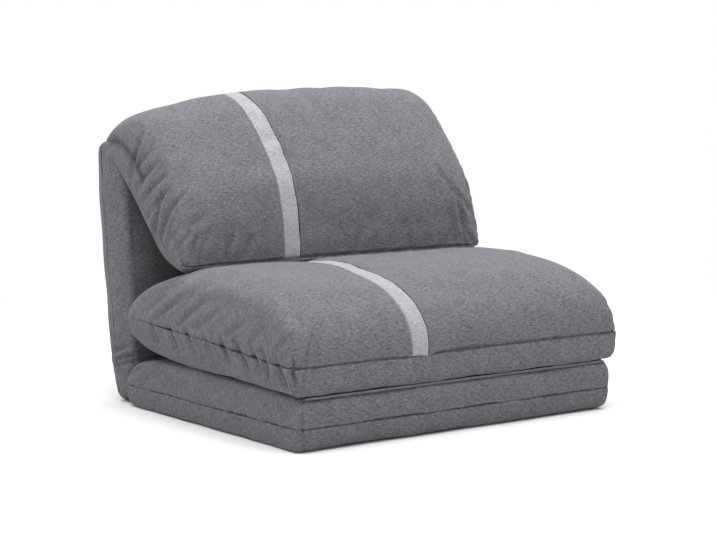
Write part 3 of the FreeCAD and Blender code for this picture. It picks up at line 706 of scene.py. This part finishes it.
def seam_shade():
    """Painted shade: darker cloth down in the seams and in pressed folds, where little light reaches."""
    tree, given, result = group_tree(
        "seam_shade", [("Color", "NodeSocketColor", (1, 1, 1, 1)), ("Depth", "NodeSocketFloat", 0.6)],
        [("Color", "NodeSocketColor")])
    # The seam attribute holds where painted shade darkens the cloth, in seams and in pressed folds.
    seam = put(tree, "ShaderNodeAttribute", {"attribute_name": "seam"})
    depth = math_node(tree, "MULTIPLY", seam.outputs["Fac"], given.outputs["Depth"])
    dark = math_node(tree, "SUBTRACT", 1.0, depth)
    grey = put(tree, "ShaderNodeCombineColor", _0=dark, _1=dark, _2=dark)
    shaded = put(tree, "ShaderNodeMix", {"data_type": "RGBA", "blend_type": "MULTIPLY"}, Factor=1.0,
                 _6=given.outputs["Color"], _7=grey.outputs[0])
    tree.links.new(shaded.outputs[2], result.inputs["Color"])
    return tree


def new_material(name, **inputs):
    """A new material whose shader has these inputs, with its tree and its shader."""
    material = bpy.data.materials.new(name)
    material.use_nodes = True
    shader = material.node_tree.nodes["Principled BSDF"]
    for label, value in inputs.items():
        shader.inputs[label.replace("_", " ")].default_value = value
    return material, material.node_tree, shader


def cloth_material(name, dark, light, flecks=2.3, on_object=False):
    """Melange cloth, woven along each panel or along the object's axes, with painted shade in its seams and
    folds.
    """
    material, tree, shader = new_material(name, Roughness=0.92, Specular_IOR_Level=0.18, Sheen_Weight=0.12,
                                          Sheen_Roughness=0.45)
    source = put(tree, "ShaderNodeTexCoord").outputs["Object"] if on_object else \
        put(tree, "ShaderNodeUVMap", {"uv_map": "cloth"}).outputs[0]
    weave = put(tree, "ShaderNodeGroup", {"node_tree": WEAVE}, Cloth=source, Dark=dark, Light=light,
                Flecks=flecks)
    # painted shade from the seam attribute darkens the weave's colour
    shade = put(tree, "ShaderNodeGroup", {"node_tree": SHADE}, Color=weave.outputs["Color"], Depth=0.45)
    bump = put(tree, "ShaderNodeBump", Strength=0.35, Distance=0.0006, Height=weave.outputs["Height"])
    tree.links.new(shade.outputs[0], shader.inputs["Base Color"])
    tree.links.new(bump.outputs[0], shader.inputs["Normal"])
    return material


def grained_material(name, dark, light, scale, stretch=(1, 1, 1), roughness=0.5, metallic=0.0, depth=0.0003,
                     strength=0.4, sheen=0.0):
    """A finish with a grain of its own, read from object coordinates."""
    material, tree, shader = new_material(name, Metallic=metallic, Sheen_Weight=sheen)
    spot = put(tree, "ShaderNodeTexCoord").outputs["Object"]
    fine = noise(tree, spot, stretch, scale, 4.0)
    broad = noise(tree, spot, (1, 1, 1), scale / 14.0, 2.0)
    blend = math_node(tree, "MULTIPLY_ADD", fine, 0.75, math_node(tree, "MULTIPLY", broad, 0.35))
    colour = put(tree, "ShaderNodeMix", {"data_type": "RGBA", "clamp_factor": True}, Factor=blend,
                 _6=dark, _7=light)
    rough = math_node(tree, "MULTIPLY_ADD", broad, 0.2, roughness - 0.1)
    bump = put(tree, "ShaderNodeBump", Strength=strength, Distance=depth, Height=fine)
    tree.links.new(colour.outputs[2], shader.inputs["Base Color"])
    tree.links.new(rough, shader.inputs["Roughness"])
    tree.links.new(bump.outputs[0], shader.inputs["Normal"])
    return material


WEAVE = melange_weave()
SHADE = seam_shade()
GREYS = (0.022, 0.0213, 0.0255, 1), (0.165, 0.161, 0.180, 1)
GREY_CLOTH = cloth_material("grey_melange", *GREYS)
STRIPE_CLOTH = cloth_material("light_melange", (0.125, 0.123, 0.136, 1), (0.340, 0.335, 0.364, 1), flecks=2.2)
ROLL_CLOTH = cloth_material("grey_melange_roll", *GREYS, on_object=True)
GREY_THREAD = grained_material("grey_thread", (0.10, 0.10, 0.11, 1), (0.22, 0.22, 0.23, 1), 2500.0,
                               roughness=0.7)
FOAM = grained_material("cut_foam", (0.62, 0.58, 0.44, 1), (0.86, 0.83, 0.72, 1), 900.0, roughness=0.95,
                        depth=0.001, strength=0.9)
WADDING = grained_material("fibre_wadding", (0.72, 0.72, 0.72, 1), (0.92, 0.92, 0.91, 1), 260.0,
                           stretch=(1, 0.3, 1), roughness=0.95, depth=0.002, strength=0.8, sheen=0.4)
WEBBING = grained_material("elastic_webbing", (0.012, 0.012, 0.013, 1), (0.07, 0.07, 0.072, 1), 900.0,
                           stretch=(0.15, 1, 1), roughness=0.8, depth=0.0006, strength=0.8)
BLACK_POWDER = grained_material("black_powder_coat", (0.014, 0.014, 0.015, 1), (0.045, 0.045, 0.047, 1), 1400.0,
                                roughness=0.48, depth=0.0001, strength=0.5)
ZINC = grained_material("zinc_plate", (0.42, 0.42, 0.43, 1), (0.70, 0.70, 0.70, 1), 420.0, stretch=(1, 0.2, 1),
                        roughness=0.36, metallic=1.0, depth=0.00006, strength=0.4)
ZIP_TAPE = grained_material("zip_tape", (0.015, 0.015, 0.017, 1), (0.06, 0.06, 0.065, 1), 1600.0,
                            stretch=(1, 0.3, 1), roughness=0.85)
ZIP_METAL = grained_material("zip_metal", (0.06, 0.06, 0.062, 1), (0.16, 0.16, 0.165, 1), 700.0, roughness=0.4,
                             metallic=0.6, depth=0.00005, strength=0.3)
GRIP_CLOTH = grained_material("grip_cloth", (0.012, 0.012, 0.013, 1), (0.05, 0.05, 0.052, 1), 1200.0,
                              roughness=0.9, depth=0.0004, strength=0.8)
GRIP_DOT = grained_material("grip_dot", (0.03, 0.03, 0.032, 1), (0.08, 0.08, 0.084, 1), 600.0, roughness=0.6)

NODE_FINISH = {
    "foam": FOAM, "wadding": WADDING, "webbing": WEBBING, "frame_paint": BLACK_POWDER, "hinge_steel": ZINC,
    "zip_tape": ZIP_TAPE, "zip_metal": ZIP_METAL, "grip_cloth": GRIP_CLOTH, "cover_fabric": ROLL_CLOTH,
    "stripe_fabric": STRIPE_CLOTH,
}
for part in frame["record"]["subparts"]:
    for slot in frame["nodes"][part["node"]].material_slots:
        slot.material = NODE_FINISH[part["material_slot"]]


# Sewing and stuffing the pads

def wear(piece, material):
    """Give a piece its one material."""
    piece.data.materials.clear()
    piece.data.materials.append(material)


def swelling_room(pad, crown, flat):
    """How far each point may swell, in millimetres: most on the free side, least where it rests."""
    room = np.full(len(pad.verts), END_ROOM)
    grid = pad.grid(room)
    for rows, amount in ((slice(1, pad.count - 1), crown), (slice(pad.count, pad.size), flat)):
        grid[:, rows] = amount
    return room


SEAT_MOVES = dict(joint="seat_unfold", axis=(0, 0, 1), anchor=(0, 0, CREASE_Z * MM), keep=0.5)
PILLOW_MOVES = dict(joint="seat_unfold", axis=(0, 1, 0), anchor=(0, (HINGE_Y + 10) * MM, 0), keep=0.55)


# Folds that the picture shows: line in pixels, half width in pixels and depth in millimetres
PILLOW_FOLDS = (
    (((144, 128), (138, 146), (132, 168), (131, 182)), 1.8, 2.6),
    (((134, 171), (142, 161), (151, 151)), 2.0, 1.6), (((137, 187), (147, 174), (159, 161)), 2.2, 2.0),
    (((142, 201), (152, 188), (165, 176)), 2.2, 2.3), (((148, 217), (157, 203), (168, 189)), 2.2, 2.4),
    (((162, 197), (157, 214), (155, 232), (158, 246)), 2.2, 3.2),
    (((186, 192), (171, 208), (163, 230), (161, 246)), 2.4, 2.8),
    (((172, 220), (169, 232), (168, 246)), 2.0, 2.0), (((190, 233), (182, 242), (175, 252)), 2.2, 1.8),
    (((206, 216), (190, 226)), 4.0, 1.2), (((197, 236), (194, 246), (193, 257)), 2.6, 2.2),
    (((231, 238), (228, 250), (226, 262)), 2.6, 2.4), (((251, 238), (248, 248), (246, 258)), 2.6, 1.8),
    (((212, 240), (210, 256)), 4.0, -1.4), (((239, 236), (237, 254)), 4.0, -1.2),
    (((360, 231), (357, 243), (356, 254)), 3.0, 1.4), (((377, 233), (375, 243), (374, 252)), 3.0, 1.2),
    (((411, 235), (409, 248)), 3.0, 1.3), (((428, 236), (427, 247)), 3.0, 1.2),
    (((436, 167), (449, 184), (458, 198), (462, 221), (466, 245)), 2.2, 2.4),
    (((456, 190), (465, 202), (473, 217)), 2.0, 1.8), (((468, 231), (473, 243)), 2.0, 1.8),
    (((447, 205), (453, 224), (455, 240)), 3.0, 1.6),
)
SEAT_FOLDS = (
    (((311, 337), (308, 352), (305, 368)), 1.7, 1.9), (((305, 371), (303, 385), (301, 399)), 1.7, 1.6),
    (((152, 321), (154, 332), (159, 342)), 2.0, 1.6), (((169, 324), (172, 336), (178, 348)), 2.0, 2.0),
    (((185, 328), (190, 342), (197, 356)), 2.0, 2.2), (((203, 333), (207, 345), (214, 358)), 2.0, 1.8),
    (((220, 337), (225, 352), (231, 364)), 2.0, 2.4), (((235, 342), (241, 356), (249, 371)), 2.2, 3.4),
    (((250, 346), (257, 362), (262, 376)), 2.0, 3.0), (((262, 350), (266, 366), (269, 382)), 2.0, 2.8),
    (((275, 356), (280, 372), (288, 390)), 2.2, 2.8), (((290, 366), (294, 378), (297, 392)), 2.0, 2.2),
    (((146, 312), (157, 303), (166, 296)), 2.6, 1.6), (((158, 317), (170, 307), (184, 297)), 2.4, 2.3),
    (((178, 326), (191, 312), (207, 300)), 2.4, 2.4), (((195, 330), (207, 320), (221, 311)), 2.6, 2.0),
    (((226, 337), (236, 328), (248, 321)), 3.0, 1.6), (((250, 344), (258, 334), (268, 327)), 3.0, 1.6),
    (((276, 353), (283, 343), (292, 335)), 3.0, 1.4), (((150, 300), (165, 289), (184, 283)), 4.0, 1.5),
)
BACK_FOLDS = (
    (((117, 359), (133, 355), (152, 352)), 2.0, 3.0), (((114, 366), (130, 362), (147, 361)), 2.0, 2.4),
    (((110, 352), (118, 350), (128, 345)), 2.4, 1.8), (((107, 330), (113, 336), (120, 338)), 2.6, 1.4),
)
BASE_FOLDS = (
    (((303, 400), (302.5, 426), (302.5, 452)), 1.5, 1.6), (((126, 377), (132, 372), (142, 368)), 2.6, 1.6),
    (((140, 385), (148, 378), (160, 374)), 3.0, 1.2), (((278, 402), (284, 410), (288, 420)), 2.6, 1.0),
)


def make_pad(key, pressure, crown, flat, seed, folds):
    """One stuffed, sewn and folded pad, still in one piece, and the lines that its stitches follow."""
    pad = pads[key]
    piece = mesh_object(pad.name, pad.verts, pad.faces)
    stuff(pad, piece, pressure, swelling_room(pad, crown, flat), pad.seam_strength())
    finish_pad(pad, piece, seed)
    press(piece, folds)
    press(piece, folds, mirrored=True)
    spots = places(piece)
    spots[:, 2] = np.maximum(spots[:, 2], FLOOR_CLOTH * MM)
    set_places(piece, spots)
    outward = normals(piece)
    return piece, [spots[line] + outward[line] * STITCH_PROUD * MM for line in pad.stitch_lines()]


base_pad, base_lines = make_pad("base", 3.0, 3.0, 1.0, 20, BASE_FOLDS)
seat_pad, seat_lines = make_pad("seat", 4.0, 9.0, 2.0, 30, SEAT_FOLDS)
back_pad, back_lines = make_pad("back", 3.0, 4.0, 3.0, 40, BACK_FOLDS)
pillow_pad, pillow_lines = make_pad("pillow", 4.0, 8.0, 4.0, 50, PILLOW_FOLDS)


TAPE_ROWS = (-7.0, -4.5, -2.0, 0.0, 2.0, 4.5, 7.0)
TAPE_LIFT, TAPE_THICKNESS, TEETH_LIFT = 0.6, 0.8, 1.3


def thicken(piece, thickness):
    """Make a thin cloth as thick as this in millimetres, half of it to either side."""
    thick = piece.modifiers.new("thickness", "SOLIDIFY")
    thick.thickness, thick.offset = thickness * MM, 0.0
    bake(piece)


def tape_on(pad, piece, place, low_x, high_x, name):
    """A zip's tape laid on a pad's lower panel, and the line that its teeth follow."""
    ring = pad.grid(pad.verts)[len(pad.xs) // 2]
    column = pad.count + int(np.argmin(np.linalg.norm(ring[pad.count:, 1:] - np.array(place), axis=1)))
    picked = [j for j, x in enumerate(pad.xs) if low_x <= x <= high_x]
    spots, outward = places(piece), normals(piece)
    middle = spots[[j * pad.size + column for j in picked]]
    out = outward[[j * pad.size + column for j in picked]]
    across = np.cross(out, np.array([1.0, 0.0, 0.0]))
    across /= np.linalg.norm(across, axis=1)[:, None]
    rows = [middle + across * width * MM + out * TAPE_LIFT * MM for width in TAPE_ROWS]
    tape = mesh_object(name, np.concatenate(rows) / MM, grid_faces(len(rows), len(picked)))
    thicken(tape, TAPE_THICKNESS)
    return tape, middle + out * TEETH_LIFT * MM


seat_tape, seat_teeth = tape_on(pads["seat"], seat_pad, (255.0, 163.0), -315, 300, "seat_zip_tape")
pillow_tape, pillow_teeth = tape_on(pads["pillow"], pillow_pad, (92.0, 289.0), -255, 300, "pillow_zip_tape")
seat_strip = split_stripe(seat_pad, "seat_stripe_panel")
pillow_strip = split_stripe(pillow_pad, "pillow_stripe_panel")


# What repeats along a line or over a sheet

def row_tree(name, shape_kind, **sizes):
    """Geometry nodes that set one small shape after another along a line, turned to follow it."""
    tree, given, result = group_tree(
        name, [("Line", "NodeSocketGeometry", None), ("Pitch", "NodeSocketFloat", 0.0045),
               ("Length", "NodeSocketFloat", 0.003), ("Width", "NodeSocketFloat", 0.0008),
               ("Height", "NodeSocketFloat", 0.0008), ("Finish", "NodeSocketMaterial", None)],
        [("Row", "NodeSocketGeometry")], "GeometryNodeTree")
    line = put(tree, "GeometryNodeMeshToCurve", Mesh=given.outputs["Line"])
    spaced = put(tree, "GeometryNodeResampleCurve", {"mode": "LENGTH"}, Curve=line.outputs[0],
                 Length=given.outputs["Pitch"])
    shape = put(tree, shape_kind, **sizes)
    size = put(tree, "ShaderNodeCombineXYZ", X=given.outputs["Width"], Y=given.outputs["Height"],
               Z=given.outputs["Length"])
    turn = put(tree, "FunctionNodeAlignRotationToVector", {"axis": "Z"},
               Vector=put(tree, "GeometryNodeInputTangent").outputs[0])
    laid = put(tree, "GeometryNodeInstanceOnPoints", Points=spaced.outputs[0], Instance=shape.outputs[0],
               Rotation=turn.outputs[0], Scale=size.outputs[0])
    real = put(tree, "GeometryNodeRealizeInstances", Geometry=laid.outputs[0])
    finished = put(tree, "GeometryNodeSetMaterial", Geometry=real.outputs[0], Material=given.outputs["Finish"])
    tree.links.new(finished.outputs[0], result.inputs["Row"])
    return tree


STITCH_ROW = row_tree("running_stitch", "GeometryNodeMeshUVSphere", Segments=6, Rings=4, Radius=0.5)
TEETH_ROW = row_tree("zip_teeth", "GeometryNodeMeshCube", Size=(1.0, 1.0, 1.0))


def run_tree(piece, tree, **values):
    """Run a geometry nodes tree on a piece with these inputs, and keep the plain mesh that it gives."""
    grown = piece.modifiers.new(tree.name, "NODES")
    grown.node_group = tree
    keys = {item.name: item.identifier for item in tree.interface.items_tree if item.in_out == "INPUT"}
    for label, value in values.items():
        grown[keys[label]] = value
    bake(piece)


def row_along(name, lines, tree, **values):
    """A row of small shapes along lines given in metres."""
    links, start = [], 0
    for line in lines:
        links += [(start + n, start + n + 1) for n in range(len(line) - 1)]
        start += len(line)
    piece = mesh_object(name, np.concatenate(lines) / MM, [], links)
    run_tree(piece, tree, **values)
    return piece


STITCH = dict(Pitch=0.0046, Length=0.0032, Width=0.0007, Height=0.0007, Finish=GREY_THREAD)
TEETH = dict(Pitch=0.0024, Length=0.0013, Width=0.0042, Height=0.0013, Finish=ZIP_METAL)
base_stitches = row_along("base_stitches", base_lines, STITCH_ROW, **STITCH)
seat_stitches = row_along("seat_stitches", seat_lines, STITCH_ROW, **STITCH)
back_stitches = row_along("back_stitches", back_lines, STITCH_ROW, **STITCH)
pillow_stitches = row_along("pillow_stitches", pillow_lines, STITCH_ROW, **STITCH)
seat_zip_row = row_along("seat_zip_row", [seat_teeth], TEETH_ROW, **TEETH)
pillow_zip_row = row_along("pillow_zip_row", [pillow_teeth], TEETH_ROW, **TEETH)


def crease_roll():
    """The folded cloth edge that seat and base share, drawn to nothing at both ends."""
    half, sides = CREASE_HALF - 1.0, 10
    xs = np.linspace(-half, half, 120)
    turns = np.linspace(0, 2 * math.pi, sides, endpoint=False)
    verts = []
    for x in xs:
        radius = 2.4 * math.sqrt(max(0.01, min(1.0, (half - abs(x)) / 14.0)))
        shift = 0.35 * math.sin(x / 17.0) + 0.25 * math.sin(x / 7.3)
        verts += [(x, CREASE_Y + 3.5 + shift + radius * math.cos(t), CREASE_Z + radius * math.sin(t))
                  for t in turns]
    faces = grid_faces(len(xs), sides, closed=True)
    faces += [tuple(range(sides))[::-1], tuple(range((len(xs) - 1) * sides, len(xs) * sides))]
    piece = mesh_object("crease_roll", verts, faces)
    face_outwards(piece)
    piece.data.shade_smooth()
    return piece


def face_outwards(piece):
    """Turn every face of a closed mesh outwards."""
    work = bmesh.new()
    work.from_mesh(piece.data)
    bmesh.ops.recalc_face_normals(work, faces=work.faces)
    work.to_mesh(piece.data)
    work.free()


def off_back(y, z):
    """The reverse of on_back: across and up from a place in the side view."""
    turn = math.radians(LEAN)
    return ((y - HINGE_Y) * math.cos(turn) - (z - HINGE_Z) * math.sin(turn),
            (y - HINGE_Y) * math.sin(turn) + (z - HINGE_Z) * math.cos(turn))


def strap_boxes(node, leaning):
    """The box of each strap of a node, in millimetres, square to the frame that carries them."""
    work = bmesh.new()
    work.from_mesh(frame["nodes"][node].data)
    bmesh.ops.remove_doubles(work, verts=work.verts, dist=1e-5)
    left, boxes = set(work.verts), []
    while left:
        queue, group = [left.pop()], []
        while queue:
            vertex = queue.pop()
            group.append(vertex)
            for edge in vertex.link_edges:
                other = edge.other_vert(vertex)
                if other in left:
                    left.remove(other)
                    queue.append(other)
        spots = np.array([v.co for v in group]) / MM
        if leaning:
            spots = np.array([(x, *off_back(y, z)) for x, y, z in spots])
        boxes.append((spots.min(axis=0), spots.max(axis=0)))
    work.free()
    return sorted(boxes, key=lambda box: (tuple(box[0].round(1)), tuple(box[1].round(1))))


def woven_straps(node, name, leaning):
    """Elastic straps with rounded selvedges, each a little slack between its ends."""
    verts, faces, steps = [], [], 28
    edge = ((0.0, 0.5), (0.04, 0.95), (0.5, 1.0), (0.96, 0.95), (1.0, 0.5), (0.96, 0.05), (0.5, 0.0),
            (0.04, 0.05))
    for low, high in strap_boxes(node, leaning):
        size = high - low
        thin, wide, far = (int(n) for n in np.argsort(size))
        start = len(verts)
        for t in np.linspace(0, 1, steps):
            for a, b in edge:
                spot = low.copy()
                spot[far] += size[far] * t
                spot[wide] += size[wide] * a
                spot[thin] += size[thin] * b - 0.5 * math.sin(math.pi * t)
                verts.append((spot[0], *on_back(spot[1], spot[2])) if leaning else tuple(spot))
        n = len(edge)
        faces += grid_faces(steps, n, closed=True, start=start)
        faces += [tuple(start + i for i in range(n)), tuple(start + (steps - 1) * n + i for i in range(n))]
    piece = mesh_object(name, verts, faces)
    face_outwards(piece)
    return piece


def grip_dots():
    """Soft dots all over the underside of the non-slip cloth."""
    low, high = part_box("grip_cloth")
    tree, given, result = group_tree(
        "grip_dots", [("Pitch", "NodeSocketFloat", 0.014), ("Dot", "NodeSocketFloat", 0.0042),
                      ("Finish", "NodeSocketMaterial", None)],
        [("Dots", "NodeSocketGeometry")], "GeometryNodeTree")
    size = high - low
    room = (size.x - 0.02, size.y - 0.02)
    across = math_node(tree, "CEIL", math_node(tree, "DIVIDE", room[0], given.outputs["Pitch"]))
    deep = math_node(tree, "CEIL", math_node(tree, "DIVIDE", room[1], given.outputs["Pitch"]))
    field = put(tree, "GeometryNodeMeshGrid", Size_X=room[0], Size_Y=room[1], Vertices_X=across,
                Vertices_Y=deep)
    dot = put(tree, "GeometryNodeMeshUVSphere", Segments=8, Rings=4, Radius=0.5)
    shape = put(tree, "ShaderNodeCombineXYZ", X=given.outputs["Dot"], Y=given.outputs["Dot"], Z=0.0011)
    laid = put(tree, "GeometryNodeInstanceOnPoints", Points=field.outputs[0], Instance=dot.outputs[0],
               Scale=shape.outputs[0])
    real = put(tree, "GeometryNodeRealizeInstances", Geometry=laid.outputs[0])
    placed = put(tree, "GeometryNodeTransform", Geometry=real.outputs[0],
                 Translation=((low.x + high.x) / 2, (low.y + high.y) / 2, 0.0006))
    finished = put(tree, "GeometryNodeSetMaterial", Geometry=placed.outputs[0],
                   Material=given.outputs["Finish"])
    tree.links.new(finished.outputs[0], result.inputs["Dots"])
    piece = mesh_object("grip_dots", [(0, 0, 0)], [])
    run_tree(piece, tree, Finish=GRIP_DOT)
    return piece


def dress(piece, body, material, replaced=(), moves=None):
    """Finish a piece, hide the nodes that it replaces, carry it, and give it a mesh of its own where its pad
    moves.
    """
    wear(piece, material)
    if replaced:
        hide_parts(*replaced)
    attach(piece, body)
    if moves:
        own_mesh(piece)


def packed_copy(node, name, share):
    """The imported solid's own mesh as a piece, scaled about its middle to keep it from its cover.

    The backrest's foam still stands out of its cover by a few millimetres near the top, and the
    pillow's filling by a few centimetres behind."""
    piece = bpy.data.objects.new(name, frame["nodes"][node].data.copy())
    bpy.context.scene.collection.objects.link(piece)
    low, high = (np.array(corner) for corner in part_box(node))
    middle = (low + high) / 2
    spots = middle + (places(piece) - middle) * np.array(share)
    if node == "pillow_fill":
        spots /= MM
        slump(spots)
        spots *= MM
    set_places(piece, spots)
    return piece


for piece, body, material, slot_name, nodes, moves in (
        (base_pad, "base", GREY_CLOTH, "cover_fabric", ("base_cover",), None),
        (seat_pad, "seat_pad", GREY_CLOTH, "cover_fabric", ("seat_cover",), SEAT_MOVES),
        (seat_strip, "seat_pad", STRIPE_CLOTH, "stripe_fabric", ("seat_stripe",), SEAT_MOVES),
        (back_pad, "backrest", GREY_CLOTH, "cover_fabric", ("back_cover",), None),
        (pillow_pad, "pillow", GREY_CLOTH, "cover_fabric", ("pillow_cover",), PILLOW_MOVES),
        (pillow_strip, "pillow", STRIPE_CLOTH, "stripe_fabric", ("pillow_stripe",), PILLOW_MOVES),
        (base_stitches, "base", GREY_THREAD, "cover_fabric", (), None),
        (seat_stitches, "seat_pad", GREY_THREAD, "cover_fabric", (), SEAT_MOVES),
        (back_stitches, "backrest", GREY_THREAD, "cover_fabric", (), None),
        (pillow_stitches, "pillow", GREY_THREAD, "cover_fabric", (), PILLOW_MOVES),
        (seat_tape, "seat_pad", ZIP_TAPE, "zip_tape", ("seat_zip",), SEAT_MOVES),
        (seat_zip_row, "seat_pad", ZIP_METAL, "zip_metal", (), SEAT_MOVES),
        (pillow_tape, "pillow", ZIP_TAPE, "zip_tape", ("pillow_zip",), PILLOW_MOVES),
        (pillow_zip_row, "pillow", ZIP_METAL, "zip_metal", (), PILLOW_MOVES),
        (crease_roll(), "base", ROLL_CLOTH, "cover_fabric", ("crease_welt",), None),
        (woven_straps("base_webbing", "base_straps", False), "base", WEBBING, "webbing", ("base_webbing",),
         None),
        (woven_straps("back_webbing", "back_straps", True), "backrest", WEBBING, "webbing", ("back_webbing",),
         None),
        (grip_dots(), "base", GRIP_DOT, "grip_cloth", (), None)):
    dress(piece, body, material, nodes, moves)


def hang_sheet(name, path, half, thickness, material, wave=0.0):
    """A sheet of cloth across the chair that follows a line in the side view, still to be carried."""
    line = smooth_line(path, 8)
    xs = np.linspace(-half, half, int(2 * half / 8) + 1)
    piece = mesh_object(name, [(x, y, z) for x in xs for y, z in line], grid_faces(len(xs), len(line)))
    if wave:
        spots = places(piece)
        set_places(piece, spots + normals(piece) * (ripple(spots, 0.05, 60) * wave * MM)[:, None])
    thicken(piece, thickness)
    piece.data.shade_smooth()
    wear(piece, material)
    return piece


# A gusset's line in the side view, and between which two places it goes over from base to backrest
for name, start, end, path in (
        ("upper_gusset", (268.0, 79.0), (281.0, 108.0),
         [(236, 95), (254, 88), (268, 79), (275, 80), (280, 92), on_back(-49, 74)]),
        ("lower_gusset", (300.0, 4.0), (350.0, 30.0),
         [(250, 3.0), (285, 3.2), (312, 4.0), on_back(12, -26), on_back(27, -12), on_back(31, 12)])):
    gusset = hang_sheet(name, path, BACK_HALF - 8.0, 1.4, ROLL_CLOTH, 0.8)
    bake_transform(gusset)
flap = hang_sheet("flap_cloth", [(389.5, 531.5), (391.5, 540), (391.0, 549)], 314.0, 1.4, ROLL_CLOTH)
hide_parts("pillow_flap")
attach(flap, "backrest")
grip_sheet = hang_sheet("grip_sheet", [(-311, 1.2), (-30, 1.2), (255, 1.2)], 334.0, 0.6, GRIP_CLOTH)
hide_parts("grip_cloth")
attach(grip_sheet, "base")

for node, name, share, slot_name, body, moves in (
        ("base_foam", "base_foam_block", (0.975, 0.985, 0.94), "foam", "base", None),
        ("back_foam", "back_foam_block", (0.975, 0.90, 0.975), "foam", "backrest", None),
        ("seat_foam", "seat_foam_block", (0.955, 0.95, 0.90), "foam", "seat_pad", SEAT_MOVES),
        ("seat_wadding", "seat_wadding_layer", (0.955, 0.95, 0.90), "wadding", "seat_pad", SEAT_MOVES),
        ("pillow_fill", "pillow_filling", (0.90, 0.74, 0.80), "wadding", "pillow", PILLOW_MOVES),
        ("seat_zip_puller", "seat_puller", (1.0, 1.0, 1.0), "zip_metal", "seat_pad", SEAT_MOVES),
        ("pillow_zip_puller", "pillow_puller", (1.0, 1.0, 1.0), "zip_metal", "pillow", PILLOW_MOVES)):
    dress(packed_copy(node, name, share), body, NODE_FINISH[slot_name], (node,), moves)


# Studio

def studio():
    """A pale floor, a pale room and three large soft lamps."""
    bpy.ops.mesh.primitive_plane_add(size=3.8, location=(0, 0, 0))
    floor = bpy.context.object
    floor.name = "studio_floor"
    floor.data.materials.append(new_material("pale_paper", Base_Color=(0.62, 0.62, 0.62, 1), Roughness=0.9)[0])
    world = bpy.data.worlds.new("pale_room")
    bpy.context.scene.world = world
    world.use_nodes = True
    world.node_tree.nodes["Background"].inputs["Color"].default_value = (1, 1, 1, 1)
    world.node_tree.nodes["Background"].inputs["Strength"].default_value = 1.0
    for name, place, size, power in (("overhead", (-0.2, -0.3, 3.0), 4.0, 190.0),
                                     ("from_the_left", (-2.4, -1.6, 1.6), 1.8, 8.0),
                                     ("from_the_front", (1.2, -2.8, 1.5), 1.8, 4.0)):
        lamp = bpy.data.lights.new(name, "AREA")
        lamp.size = size
        lamp.energy = power
        holder = bpy.data.objects.new(name, lamp)
        holder.location = place
        holder.rotation_euler = (Vector((0, 0, 0.3)) - Vector(place)).to_track_quat("-Z", "Y").to_euler()
        bpy.context.scene.collection.objects.link(holder)


def photographer():
    """The camera, where the photograph was taken from."""
    lens = bpy.data.cameras.new("camera")
    lens.lens = CAMERA_LENS
    lens.sensor_width = CAMERA_SENSOR
    lens.clip_end = 60
    camera = bpy.data.objects.new("camera", lens)
    place, right, up, forward = camera_axes()
    camera.location = place
    camera.rotation_euler = forward.to_track_quat("-Z", "Y").to_euler()
    bpy.context.scene.collection.objects.link(camera)
    bpy.context.scene.camera = camera


studio()
photographer()
bpy.context.scene.view_settings.view_transform = "Standard"
